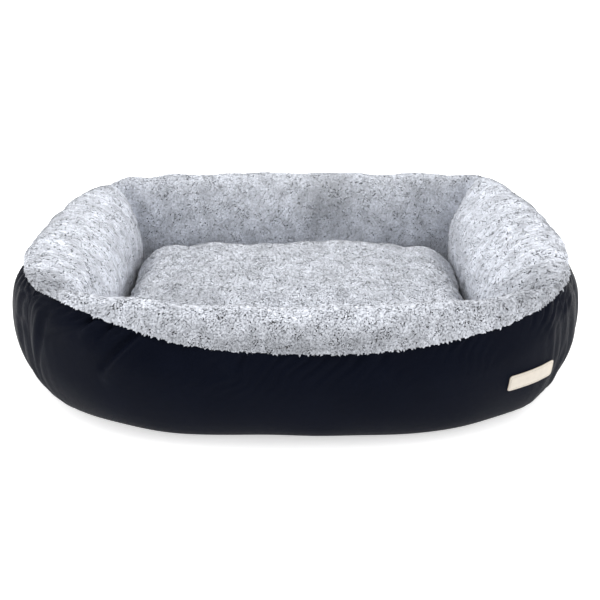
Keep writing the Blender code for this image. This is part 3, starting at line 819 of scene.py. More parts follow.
@dataclass
class SoftForm:
    """The form with the give of real cloth: lumps, pinched corner seams, gathers and folds."""

    form: BedForm = field(default_factory=BedForm)
    section_length: float = 0.47
    pinch: float = 0.0065
    pinch_width: float = 0.012
    crest_ease: float = 0.7
    roll_end: float = 0.075
    roll_drop: float = 0.013
    roll_bulge: float = 0.006
    fill_clear: float = 0.0045
    gather_pitch: float = 0.021
    gather_height: float = 0.0036
    furrows: tuple[Furrow, ...] = (
        Furrow(Wall.FRONT, (-0.210, 0.181), (-0.252, 0.138), 0.0055, 0.0072),
        Furrow(Wall.FRONT, (-0.194, 0.177), (-0.246, 0.130), 0.0080, -0.0055),
        Furrow(Wall.FRONT, (-0.247, 0.188), (-0.260, 0.168), 0.0036, 0.0050),
        Furrow(Wall.FRONT, (-0.272, 0.192), (-0.295, 0.176), 0.0036, 0.0048),
        Furrow(Wall.FRONT, (-0.260, 0.189), (-0.284, 0.166), 0.0060, -0.0042),
        Furrow(Wall.FRONT, (-0.287, 0.194), (-0.304, 0.180), 0.0034, 0.0042),
        Furrow(Wall.FRONT, (-0.062, 0.168), (-0.074, 0.148), 0.0040, 0.0040),
        Furrow(Wall.FRONT, (0.100, 0.172), (0.074, 0.146), 0.0050, 0.0035),
        Furrow(Wall.FRONT, (0.128, 0.172), (0.112, 0.150), 0.0050, 0.0030),
        Furrow(Wall.FRONT, (-0.300, 0.170), (-0.345, 0.150), 0.0045, 0.0032),
        Furrow(Wall.FRONT, (-0.345, 0.180), (-0.372, 0.090), 0.0060, 0.0036),
        Furrow(Wall.FRONT, (-0.360, 0.175), (-0.378, 0.060), 0.0055, -0.0030),
        Furrow(Wall.FRONT, (0.372, 0.175), (0.366, 0.050), 0.0060, 0.0040),
        Furrow(Wall.LEFT, (-0.190, 0.180), (-0.175, 0.050), 0.0065, 0.0045),
        Furrow(Wall.RIGHT, (-0.190, 0.185), (-0.172, 0.045), 0.0065, 0.0050),
        Furrow(Wall.RIGHT, (-0.150, 0.185), (-0.140, 0.075), 0.0070, 0.0030),
        Furrow(Wall.BACK, (-0.290, 0.190), (-0.240, 0.120), 0.0070, 0.0028),
        Furrow(Wall.BACK, (0.250, 0.190), (0.290, 0.110), 0.0070, 0.0030),
        Furrow(Wall.BACK, (0.040, 0.190), (0.010, 0.130), 0.0060, 0.0022),
    )
    rings: tuple[tuple[Wall, float, float], ...] = (
        (Wall.RIGHT, -0.150, 0.0038),
        (Wall.RIGHT, -0.122, 0.0030),
        (Wall.RIGHT, -0.090, 0.0022),
        (Wall.LEFT, -0.118, 0.0022),
        (Wall.LEFT, 0.150, 0.0020),
        (Wall.RIGHT, 0.155, 0.0020),
    )

    def __post_init__(self) -> None:
        """Makes the noises."""
        self.broad = Ripple(0.17, 3)
        self.lumpy = Ripple(0.060, 5)
        self.drawn = Ripple(0.045, 9)
        self.taut = Ripple(0.11, 12)

    def places(self, wall: Wall, count: int, room: float = 0.0) -> Array:
        """Places along a wall as a column, closer at the corner seams, ordered to face out."""
        turn = np.linspace(-math.pi / 2, math.pi / 2, count)
        even = (0.35 * np.sin(turn) + 0.65 * turn / (math.pi / 2))[:, None]
        places = (1 - self.form.end_room - room) * even
        return places[::-1] if wall in (Wall.BACK, Wall.LEFT) else places

    def ends(self, wall: Wall, u: Array) -> Array:
        """Distance to the nearer corner seam."""
        return (1 - np.abs(u)) * self.form.half_run(wall)

    def give(self, wall: Wall, u: Array, p: Array, layer: Layer) -> Array:
        """How much deeper the creased cloth lies than the plain form, below 0 where it is proud.

        Args:
            wall: the wall.
            u: places along it.
            p: places up its section.
            layer: plush or shell.

        Returns:
            Depths in metres: the corner pinch, the lumps and the layer's own creases, added up.
        """
        u, p = np.broadcast_arrays(u, p)
        at = self.form.points(wall, u, p, 0.0)
        end = self.ends(wall, u)
        eased = 1 - self.crest_ease * bump_at(p, 0.48, 0.10)
        depth = self.pinch * np.exp(-((end / self.pinch_width) ** 2)) * eased
        if layer is Layer.SHELL:
            return depth + self.shell_give(wall, u, p, at, end)
        if layer is Layer.PLUSH:
            return depth + self.plush_give(wall, u, p, at, end)
        above = p > self.form.seam(wall, u)
        return depth + self.fill_clear + np.where(above, self.plush_give(wall, u, p, at, end), 0.0)

    def plush_give(self, wall: Wall, u: Array, p: Array, at: Array, end: Array) -> Array:
        """Lumps, the rounding of a roll's ends, 1 - sqrt(1 - t^2), and the rings round it."""
        over = smoothstep((p - 0.43) / 0.12)
        depth = (0.0012 if wall.is_side else 0.0018) * self.broad(at) + 0.0010 * self.lumpy(at)
        depth = depth + 0.0030 * bump_at(end, 0.0, 0.016) * over
        if wall.is_side:
            t = np.clip(1 - end / self.roll_end, 0, 0.985)
            depth = depth - self.roll_bulge * bump_at(p, 0.42, 0.07) * smoothstep(end / 0.05)
            front_end = 0.12 + 0.88 * (u < 0)
            depth = depth + self.roll_drop * front_end * (1 - np.sqrt(1 - t * t)) * over
        else:
            drop = 0.004 if wall is Wall.FRONT else 0.001
            depth = depth + drop * smoothstep(1 - end / 0.05) * over
        along = u * self.form.half_run(wall)
        for where, place, deep in self.rings:
            if where is wall:
                bent = along - place - 0.012 * (p - 0.5) * 4 + 0.003 * self.lumpy(at)
                depth = depth + deep * bump_at(bent, 0.0, 0.0065) * over
        return depth

    def shell_give(self, wall: Wall, u: Array, p: Array, at: Array, end: Array) -> Array:
        """Slanted gathers that fade below the seam, long folds, and lines beside the corners."""
        below = (self.form.seam(wall, u) - p) * self.section_length
        along, up = u * self.form.half_run(wall), p * self.section_length
        strength = {
            Wall.FRONT: 0.35 + 0.75 * bump_at(u, -0.62, 0.36) + 0.12 * np.abs(u) ** 6,
            Wall.BACK: 0.55 + 0.2 * np.cos(5 * u),
            Wall.LEFT: 0.75 + 0 * u,
            Wall.RIGHT: 0.70 + 0 * u,
        }[wall]
        phase = 2 * math.pi * (along + 1.05 * below + 0.004 * self.drawn(at)) / self.gather_pitch
        ridge = 2.2 * np.abs(np.sin(0.5 * phase + 0.9 * self.taut(at)))
        ridge = ridge - 1.4 + 0.35 * np.sin(1.9 * phase)
        fade = smoothstep(below / 0.006) * np.exp(-((below / 0.034) ** 2))
        uneven = np.clip(0.65 + 0.5 * self.taut(at + 0.3), 0.1, 1.4)
        depth = -self.gather_height * strength * ridge * fade * uneven * 0.6
        low = smoothstep(p / 0.06)
        depth = depth + (0.0011 * self.broad(at) + 0.0008 * self.taut(at)) * low
        drawn = np.sin(2 * math.pi * (end / 0.017 + 0.35 * self.taut(at)))
        drawn = drawn * np.exp(-((end / 0.035) ** 2))
        depth = depth + 0.0008 * drawn * low * smoothstep(end / 0.006)
        for furrow in self.furrows:
            if furrow.wall is wall:
                depth = depth + furrow.give(along, up) * low * smoothstep(below / 0.004)
        return depth

    def sheet(
        self,
        wall: Wall,
        layer: Layer,
        span: tuple[Array | float, Array | float],
        size: tuple[int, int],
        depth: float,
        room: float = 0.0,
    ) -> Surface:
        """A layer of a wall as a grid.

        Args:
            wall: the wall.
            layer: its cloth, which sets the creases.
            span: first and last place up the section, each a number or one for each place along.
            size: points along and up.
            depth: how deep the sheet lies below the form, besides its give.
            room: share of the wall's half left free at each corner seam.

        Returns:
            The grid, facing out.
        """
        u = self.places(wall, size[0], room)
        share = np.linspace(0, 1, size[1])[None, :]
        p = span[0] + (span[1] - span[0]) * share
        u = np.broadcast_to(u, p.shape)
        dipped = (layer is not Layer.PLUSH) & (p < self.form.seam(wall, u))
        dip = np.where(dipped, self.form.dip(wall, u, p), 0.0)
        return Surface(self.form.points(wall, u, p, depth + dip + self.give(wall, u, p, layer)))


# Plush


@dataclass(frozen=True)
class Pile:
    """Curled tufts of a plush cloth, which bend to the middle of their clump and part in locks."""

    length: float = 0.0066
    width: float = 0.0023
    clump: float = 0.0090
    gather: float = 0.22
    stray: float = 0.28
    comb_pull: float = 0.75
    rise: float = 0.21
    relief: float = 0.30
    dark_share: float = 0.07
    up_the_tuft: tuple[float, ...] = (0.2, 0.2, 0.2, 0.6, 0.6, 0.6, 1.0)
    # Painted shade: bells (centre, size, strength) where the pile's colour is darkened for shade,
    # as under the front crest and low on the front band.
    brushed: tuple[tuple[tuple[float, float, float], tuple[float, float, float], float], ...] = (
        ((0.070, 0.235, 0.170), (0.045, 0.06, 0.07), 1.5),
        ((0.250, 0.235, 0.150), (0.130, 0.06, 0.09), 0.35),
        ((0.350, -0.205, 0.170), (0.070, 0.06, 0.06), 1.9),
        ((-0.190, -0.110, 0.120), (0.070, 0.06, 0.04), 0.8),
        ((0.000, -0.195, 0.100), (0.290, 0.035, 0.03), 2.0),
        ((-0.350, -0.205, 0.190), (0.060, 0.05, 0.05), 1.9),
        ((0.000, -0.322, 0.165), (0.330, 0.03, 0.024), 1.9),
        ((0.300, -0.290, 0.195), (0.110, 0.04, 0.030), 1.3),
        ((-0.250, -0.300, 0.190), (0.080, 0.03, 0.026), 0.7),
    )

    def grow(
        self, roots: Array, normals: Array, comb: Array, seed: int, short: Array | float = 1.0
    ) -> Shape:
        """One tuft at each root: a three-sided blade with a base, a middle and a tip.

        Args:
            roots: (n, 3) places on the skin.
            normals: (n, 3) outwards.
            comb: (n, 3) the way the pile lies, any length.
            seed: of the stray directions.
            short: share of the full length, one or one for each root.

        Returns:
            The tufts, with the numbers pile and shade, and a cell of the sewing map for each.
        """
        count = len(roots)
        draw = np.random.default_rng(seed)
        centres, traits = nearest_clump(roots, self.clump, seed)
        inwards = centres - roots
        inwards = (inwards - normals * (inwards * normals).sum(1, keepdims=True)) / self.clump
        swirl = np.cross(normals, unit(inwards)) * (traits[:, :1] - 0.5)
        stray = draw.normal(size=(count, 3)) * self.stray
        lean = inwards * self.gather * 1.6 + swirl * 0.9 + stray + comb * self.comb_pull
        lean = lean - normals * (lean * normals).sum(1, keepdims=True)
        size = np.linalg.norm(lean, axis=1, keepdims=True)
        lean = lean / np.maximum(size, TINY) * np.clip(size, 0.70, 1.0)
        long = self.length * (0.80 + 0.35 * traits[:, 1]) * draw.uniform(0.85, 1.12, count)
        long = (long * short)[:, None]
        high = self.rise * (draw.uniform(0.70, 1.1, count) + 0.35 * traits[:, 0])[:, None]
        middle = roots + normals * long * self.rise * 0.95 + lean * long * 0.30
        tip = roots + normals * long * high + lean * long * 0.82
        first = unit(lean + normals * TINY)
        second = np.cross(normals, first)
        start = draw.uniform(0, 2 * math.pi, count)
        turn = start[:, None] + np.arange(3) * 2 * math.pi / 3
        ring = 0.7 * np.cos(turn)[..., None] * first[:, None]
        ring = ring + np.sin(turn)[..., None] * second[:, None]
        wide = self.width * draw.uniform(0.8, 1.25, count)[:, None, None]
        base = (roots - normals * 0.0012)[:, None] + ring * wide
        waist = middle[:, None] + ring * wide * 0.86
        points = np.concatenate([base, waist, tip[:, None]], axis=1)
        pattern = np.array([
            [0, 2, 1], [0, 1, 4], [1, 2, 5], [2, 0, 3], [0, 4, 3],
            [1, 5, 4], [2, 3, 5], [3, 4, 6], [4, 5, 6], [5, 3, 6],
        ])  # fmt: skip
        faces = np.arange(count)[:, None, None] * 7 + pattern
        shade = 0.25 + 0.25 * traits[:, 2] + 0.30 * draw.uniform(0, 1, count)
        dark = draw.uniform(0, 1, count) < self.dark_share
        # The painted shade of the bells is taken off each tuft's shade number.
        shade = np.where(dark, 0.1, shade) - self.painted_shade(roots)
        return Shape(
            points.reshape(-1, 3),
            faces.reshape(-1, 3),
            self.sewing(count),
            {"pile": np.tile(self.up_the_tuft, count), "shade": np.repeat(shade, 7)},
            self.soft_facing(normals, ring, lean),
        )

    def soft_facing(self, normals: Array, ring: Array, lean: Array) -> Array:
        """Shading normals between the cloth's and the tuft's own, as light scatters in the pile."""
        around = normals[:, None] + self.relief * ring
        tip = normals + self.relief * lean
        return unit(np.concatenate([around, around, tip[:, None]], axis=1)).reshape(-1, 3)

    def painted_shade(self, roots: Array) -> Array:
        """Painted shade: how much darker the pile's colour is made in bells round set places, where
        shade falls on the pile.
        """
        dark = np.zeros(len(roots))
        for place, size, strength in self.brushed:
            dark += strength * np.exp(-((((roots - place) / size) ** 2).sum(axis=1)))
        return dark

    @staticmethod
    def sewing(count: int) -> Array:
        """A small cell of the upper four fifths of the map for each tuft, base to tip."""
        side = math.ceil(math.sqrt(count))
        cell = np.stack([np.arange(count) % side, np.arange(count) // side], axis=-1) / side
        inside = np.array([*[(x, y) for y in (0.1, 0.55) for x in (0.1, 0.5, 0.9)], (0.5, 0.92)])
        return ((cell[:, None] + inside / side) * [1, 0.79] + [0, 0.21]).reshape(-1, 2)


def plush_skin(outer: Surface, inner: Surface) -> Shape:
    """The backing of a plush cloth, on the lowest fifth of the sewing map."""
    skin = thick_sheet(outer, inner)
    skin.sewing = skin.sewing / skin.sewing.max(axis=0) * [1, 0.2]
    count = len(skin.points)
    skin.numbers = {"pile": np.full(count, 0.45), "shade": np.full(count, 0.30)}
    skin.facing = np.concatenate([outer.normals().reshape(-1, 3), -inner.normals().reshape(-1, 3)])
    return skin


@dataclass
class PlushCover:
    """A plush cloth on a sheet: its backing and tufts all over, thinner where nothing sees them."""

    pile: Pile
    skin: Surface
    inner: Surface
    comb: Array
    seed: int
    edge_turn: float = 0.9

    def shape(self, count: int, density: Array, fringe: int = 0) -> Shape:
        """The whole cover.

        Args:
            count: tufts on the sheet.
            density: relative density for each cell.
            fringe: tufts along the sheet's first edge, which hang over the shell.

        Returns:
            Backing and tufts as one shape.
        """
        normals = self.skin.normals()
        places = self.skin.scatter(count, density, self.seed)
        roots = self.skin.read(self.skin.points, places)
        out = unit(self.skin.read(normals, places))
        tufts = self.pile.grow(roots, out, self.lying(out), self.seed)
        shapes = [plush_skin(self.skin, self.inner), tufts]
        if fringe:
            shapes.append(self.edge(fringe, normals))
        return Shape.joined(shapes)

    def lying(self, normals: Array) -> Array:
        """The comb direction, laid in the plane of the cloth."""
        return self.comb - normals * (normals @ self.comb)[:, None]

    def edge(self, count: int, normals: Array) -> Shape:
        """Two ragged rows of tufts that lie over the edge and past it."""
        draw = np.random.default_rng(self.seed + 50)
        rows = self.skin.points.shape[0] - 1
        places = np.stack([np.linspace(0, rows, count), draw.uniform(0.2, 1.0, count)], axis=-1)
        places[:, 0] = np.clip(places[:, 0] + draw.normal(0, 0.1, count), 0, rows)
        _, across = self.skin.tangents()
        out = unit(self.skin.read(normals, places))
        down = -unit(self.skin.read(across, places))
        out = unit(out + self.edge_turn * down)
        down *= draw.uniform(0.7, 1.5, count)[:, None]
        roots = self.skin.read(self.skin.points, places)
        return self.pile.grow(roots, out, down, self.seed + 60, draw.uniform(0.5, 0.8, count))


# The parts of the bed


@dataclass(kw_only=True)
class Part:
    """Something the bed is made of: it builds pieces and dresses each for the frame."""

    palette: Palette
    body: str = "bed"
    pieces: list[bpy.types.Object] = field(default_factory=list)

    def dress(
        self, piece: bpy.types.Object, nodes: Sequence[str], slot: str, fill: float | None = None
    ) -> None:
        """Rides the piece on the part's body, in place of its nodes."""
        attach(piece, self.body)
        if nodes:
            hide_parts(*nodes)
        self.pieces.append(piece)

    def carry_over(self, node: str, material: Material) -> None:
        """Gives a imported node, whose shape is right, its finish."""
        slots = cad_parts[node].data.materials
        slots.clear()
        slots.append(material)

    def report(self) -> None:
        """Logs each piece and its size."""
        for piece in self.pieces:
            LOG.info("%s: %d faces", piece.name, len(piece.data.polygons))


@dataclass(kw_only=True)
class StuffedWall(Part):
    """One wall: its fill, its nylon shell and its plush."""

    wall: Wall
    soft: SoftForm
    skin_depth: float = 0.0045
    backing_depth: float = 0.0073
    shell_cloth: float = 0.0012
    fill_room: float = 0.012
    padding: float = 0.85
    long_tufts: tuple[int, int] = (27500, 1150)
    side_tufts: tuple[int, int] = (19500, 620)
    combs: ClassVar[dict[Wall, tuple[float, float, float]]] = {
        Wall.FRONT: (0.05, -0.10, -0.25),
        Wall.BACK: (-0.10, -0.10, -0.45),
        Wall.LEFT: (0.65, -0.60, -0.30),
        Wall.RIGHT: (-0.65, -0.45, -0.30),
    }

    def build(self) -> None:
        """Builds the wall's three pieces."""
        self.build_plush()
        self.build_shell()
        self.build_fill()

    def build_plush(self) -> None:
        """Plush from the seam over the crest and down to the lining."""
        wall, form = self.wall, self.soft.form
        rows = 76 if wall.is_side else 124
        u = self.soft.places(wall, rows)
        span = (form.seam(wall, u) + 0.001, form.inner_end())
        skin = self.soft.sheet(wall, Layer.PLUSH, span, (rows, 46), self.skin_depth)
        inner = self.soft.sheet(wall, Layer.PLUSH, span, (rows, 46), self.backing_depth)
        height = skin.points[:-1, :-1, 2]
        place = np.linspace(0, 1, 45)[None, :]
        hidden = (place > 0.5) & (height < 0.085)
        density = np.where(hidden, 0.40, 1.0)
        seed = 10 + list(Wall).index(wall)
        cover = PlushCover(Pile(), skin, inner, np.array(self.combs[wall]), seed)
        tufts, fringe = self.side_tufts if wall.is_side else self.long_tufts
        shape = cover.shape(tufts, density, fringe=fringe)
        # The side walls take the copy with painted light.
        finish = self.palette.plush_side_lit if wall.is_side else self.palette.plush
        piece = shape.piece(f"plush_{wall.value}", finish)
        self.dress(piece, [f"fur_{wall.value}"], "fur", self.padding)

    def build_shell(self) -> None:
        """The nylon panel from its foot up to the seam."""
        wall, form = self.wall, self.soft.form
        size = (130, 74) if wall.is_side else (230, 74)
        u = self.soft.places(wall, size[0])
        span = (0.0 * u, form.seam(wall, u) - 0.001)
        outer = self.soft.sheet(wall, Layer.SHELL, span, size, 0.0)
        inner = self.soft.sheet(wall, Layer.SHELL, span, size, self.shell_cloth)
        for sheet in (outer, inner):
            sheet.points[..., 2] = np.maximum(sheet.points[..., 2], 0.0002)
        piece = thick_sheet(outer, inner).piece(f"nylon_{wall.value}", self.palette.nylon)
        self.dress(piece, [f"shell_{wall.value}"], "shell_nylon", self.padding)

    def build_fill(self) -> None:
        """The wall's stuffing, a closed loft of the layers just inside its cloths."""
        wall, form = self.wall, self.soft.form
        rows = 61
        u = self.soft.places(wall, rows, self.fill_room)
        seam, depth = form.seam(wall, u), self.backing_depth + 0.0009
        spans = ((0 * u, seam - 0.002), 16), ((seam + 0.002, form.inner_end()), 28)
        low, high = (
            self.soft.sheet(wall, Layer.FILL, span, (rows, columns), depth, self.fill_room)
            for span, columns in spans
        )
        foot = high.points[:, -1:].copy()
        foot[..., 2] = 0.0021
        low.points[..., 2] = np.maximum(low.points[..., 2], 0.0021)
        rings = np.concatenate([low.points, high.points, foot], axis=1)
        count = rings.shape[1]
        middle = rings.mean(axis=1)
        faces = grid_triangles(rows, count, wrap=True)
        around = np.arange(count)
        after = np.roll(around, -1)
        last = (rows - 1) * count
        first_cap = np.stack([np.full(count, rows * count), after, around], -1)
        last_cap = np.stack([np.full(count, rows * count + 1), last + around, last + after], -1)
        points = np.concatenate([rings.reshape(-1, 3), middle[[0, -1]]])
        shape = Shape(points, np.concatenate([faces, first_cap, last_cap]), points[:, :2].copy())
        piece = shape.piece(f"stuffing_{wall.value}", self.palette.fibre)
        self.dress(piece, [f"fill_{wall.value}"], "polyester_fibre", self.padding)


@dataclass(kw_only=True)
class Base(Part):
    """The base cloth, and the well floor's wadding and lining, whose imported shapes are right."""

    def build(self) -> None:
        """Gives each its finish."""
        self.carry_over("base_panel", self.palette.canvas)
        self.carry_over("base_wadding", self.palette.fibre)
        self.carry_over("well_floor_lining", self.palette.lining)


def stitch_row(line: Array, out: Array, pitch: float, share: float, radius: float) -> Shape:
    """Stitches along a loop: each an arch, sin(pi t) high, that dips into the cloth at both ends.

    Args:
        line: (n, 3) points on the cloth.
        out: (n, 3) normals of the cloth there.
        pitch: from one stitch to the next.
        share: of the pitch that shows thread.
        radius: of the thread.

    Returns:
        The stitches.
    """
    line, out = np.concatenate([line, line[:1]]), np.concatenate([out, out[:1]])
    run = np.concatenate([[0], np.linalg.norm(np.diff(line, axis=0), axis=1).cumsum()])
    count = max(1, round(run[-1] / pitch))
    starts = np.arange(count) * run[-1] / count
    t = np.linspace(0, 1, 5)
    at = (starts[:, None] + t * pitch * share).clip(0, run[-1])
    along = np.stack([np.interp(at, run, line[:, k]) for k in range(3)], axis=-1)
    normal = unit(np.stack([np.interp(at, run, out[:, k]) for k in range(3)], axis=-1))
    path = along + normal * ((1.7 * np.sin(math.pi * t) - 0.8) * radius)[None, :, None]
    return swept(path, radius * (0.75 + 0.25 * np.sin(math.pi * t)), 6)


@dataclass(kw_only=True)
class Patch(Part):
    """The blank beige patch near the right front corner seam, and its stitches."""

    soft: SoftForm
    along: float = 0.84
    up: float = 0.236
    length: float = 0.085
    height: float = 0.024
    thickness: float = 0.0013
    corner: float = 0.0042
    margin: float = 0.0026
    pitch: float = 0.0030
    thread: float = 0.00030

    def place(self, s: Array, t: Array, lift: Array | float) -> Array:
        """Points of the patch for s and t from -1 to 1, with round corners, lifted off the shell.

        The rows near the long edges are shorter by corner * (1 - sqrt(1 - k^2)), a quarter circle.
        """
        half_length, half_height = self.length / 2, self.height / 2
        k = np.clip((np.abs(t) * half_height - half_height + self.corner) / self.corner, 0, 1)
        s = s * (1 - self.corner * (1 - np.sqrt(1 - k * k)) / half_length)
        form, step = self.soft.form, 1e-3
        u0 = np.array([self.along, self.along, self.along - step])
        p0 = np.array([self.up, self.up - step, self.up])
        here, below, beside = form.points(Wall.FRONT, u0, p0, 0.0)
        u = self.along + s * half_length * step / np.linalg.norm(here - beside)
        p = self.up + t * half_height * step / np.linalg.norm(here - below)
        give = self.soft.give(Wall.FRONT, u, p, Layer.SHELL) * 0.8
        return form.points(Wall.FRONT, u, p, give - 0.0007 - lift)

    def build(self) -> None:
        """Builds the patch and its thread."""
        s, t = np.linspace(-1, 1, 72)[:, None], np.linspace(-1, 1, 26)[None, :]
        edge = np.minimum((1 - np.abs(s)) * self.length / 2, (1 - np.abs(t)) * self.height / 2)
        groove = 0.0003 * bump_at(edge, self.margin, 0.0007) + 0.0004 * np.exp(-edge / 0.0006)
        face = Surface(self.place(s, t, self.thickness - groove))
        back = Surface(self.place(s, t, 0.0001))
        shape = thick_sheet(face, back)
        rim = np.exp(-edge / 0.0012).ravel()
        shape.numbers = {"rim": np.concatenate([rim, np.ones_like(rim)])}
        self.dress(shape.piece("woven_patch", self.palette.patch), ["patch"], "patch")

        inset = np.array([1 - 2 * self.margin / self.length, 1 - 2 * self.margin / self.height])
        turn = np.linspace(0, 2 * math.pi, 240, endpoint=False)
        loop = np.stack([np.cos(turn), np.sin(turn)], axis=-1)
        loop = loop / (np.abs(loop) ** 12).sum(axis=1, keepdims=True) ** (1 / 12) * inset
        at = self.place(loop[:, 0], loop[:, 1], self.thickness - 0.0003)
        off = unit(self.place(loop[:, 0], loop[:, 1], self.thickness + 0.001) - at)
        stitches = stitch_row(at, off, self.pitch, 0.72, self.thread)
        piece = stitches.piece("patch_thread", self.palette.thread)
        self.dress(piece, ["patch_stitching"], "thread")


# The loose cushion


@dataclass(frozen=True)
class PillowForm:
    """The cushion's two faces over places a and b from -1 to 1, which meet in an oval seam."""

    half_length: float = 0.287
    half_depth: float = 0.204
    middle: float = -0.003
    base: float = 0.0131
    seam: float = 0.0431
    rise: float = 0.082
    drop: float = 0.030
    power: float = 7.0
    crown: float = 3.2
    side_crown: float = 4.0
    side_start: float = 0.70
    flat: float = 0.80
    seam_gap: float = 0.00015

    def plan(self, a: Array, b: Array, depth: Array | float) -> tuple[Array, Array, Array]:
        """X, Y and the share of the outline: rings |x/h|^n + |y/d|^n = share^n."""
        share = np.maximum(np.abs(a), np.abs(b))
        long = (np.abs(a) ** self.power + np.abs(b) ** self.power) ** (1 / self.power)
        long = np.where(share < TINY, 1.0, long / np.maximum(share, TINY))
        x = (self.half_length - depth) * a / long
        return x, self.middle + (self.half_depth - depth) * b / long, share

    def top(self, a: Array, b: Array, depth: Array | float = 0.0) -> Array:
        """The upper face: seam + rise * sqrt(1 - share^n), where n grows at both ends."""
        x, y, share = self.plan(a, b, depth)
        end = smoothstep((np.abs(x) / self.half_length - self.side_start) / 0.25)
        power = self.crown + self.side_crown * end
        z = self.seam + (self.rise - depth) * np.sqrt(1 - share**power)
        return np.stack([x, y, np.maximum(z, self.seam + self.seam_gap)], axis=-1)

    def bottom(self, a: Array, b: Array, depth: Array | float = 0.0) -> Array:
        """The underside: a quarter ellipse from the seam in to a flat middle."""
        x, y, share = self.plan(a, b, depth)
        t = np.clip((share - self.flat) / (1 - self.flat), 0, 1)
        z = self.seam - (self.drop - depth) * np.sqrt(1 - t * t)
        return np.stack([x, y, np.minimum(z, self.seam - self.seam_gap)], axis=-1)


@dataclass
class Inflation:
    """Cloth simulation of the cushion's cover, which gives how far its filling moves it."""

    form: PillowForm
    size: tuple[int, int] = (73, 53)
    pressure: float = 4.0
    slack: float = 0.045
    frames: int = 20
    most: float = 0.010

    def grid(self) -> tuple[Array, Array]:
        """Places over the square, a little closer at the seam."""
        lines = (np.linspace(-1, 1, count) for count in self.size)
        a, b = (0.5 * np.sin(t * math.pi / 2) + 0.5 * t for t in lines)
        return a[:, None] + 0 * b, b[None, :] + 0 * a[:, None]

    def moves(self) -> tuple[Array, Array]:
        """Moves of the upper face and of the underside, nought at the seam.

        Returns:
            Two grids (*size, 3), each move capped at the most.
        """
        a, b = self.grid()
        rows, columns = self.size
        top, bottom = self.form.top(a, b), self.form.bottom(a, b)
        inner = np.zeros((rows, columns), bool)
        inner[1:-1, 1:-1] = True
        index = np.arange(rows * columns).reshape(rows, columns)
        under = index.copy()
        under[inner] = rows * columns + np.arange(inner.sum())
        points = np.concatenate([top.reshape(-1, 3), bottom[inner]])
        faces = grid_triangles(rows, columns)
        mesh = bpy.data.meshes.new("inflation")
        mesh.from_pydata(points, [], np.concatenate([faces, under.ravel()[faces[:, ::-1]]]))
        cloth = bpy.data.objects.new("inflation", mesh)
        bpy.context.scene.collection.objects.link(cloth)
        after = self.simulate(cloth, index[~inner].tolist())
        bpy.data.objects.remove(cloth)
        moved = after - points
        long = np.linalg.norm(moved, axis=1, keepdims=True)
        moved *= np.tanh(long / self.most) * self.most / np.maximum(long, TINY)
        return moved[index], moved[under]

    def simulate(self, cloth: bpy.types.Object, pinned: list[int]) -> Array:
        """Runs the simulation and reads where its points end."""
        group = cloth.vertex_groups.new(name="seam")
        group.add(pinned, 1.0, "REPLACE")
        modifier = cloth.modifiers.new("inflation", "CLOTH")
        settings = modifier.settings
        settings.quality = 6
        settings.mass = 0.25
        settings.tension_stiffness = settings.compression_stiffness = 12
        settings.bending_stiffness = 0.25
        settings.air_damping = 4
        settings.use_pressure = True
        settings.uniform_pressure_force = self.pressure
        settings.shrink_min = -self.slack
        settings.vertex_group_mass = group.name
        settings.effector_weights.gravity = 0
        modifier.point_cache.frame_start, modifier.point_cache.frame_end = 1, self.frames
        scene = bpy.context.scene
        for frame_number in range(1, self.frames + 1):
            scene.frame_set(frame_number)
        graph = bpy.context.evaluated_depsgraph_get()
        result = cloth.evaluated_get(graph).data
        after = np.empty(len(result.vertices) * 3, np.float32)
        result.vertices.foreach_get("co", after)
        scene.frame_set(1)
        return after.astype(float).reshape(-1, 3)


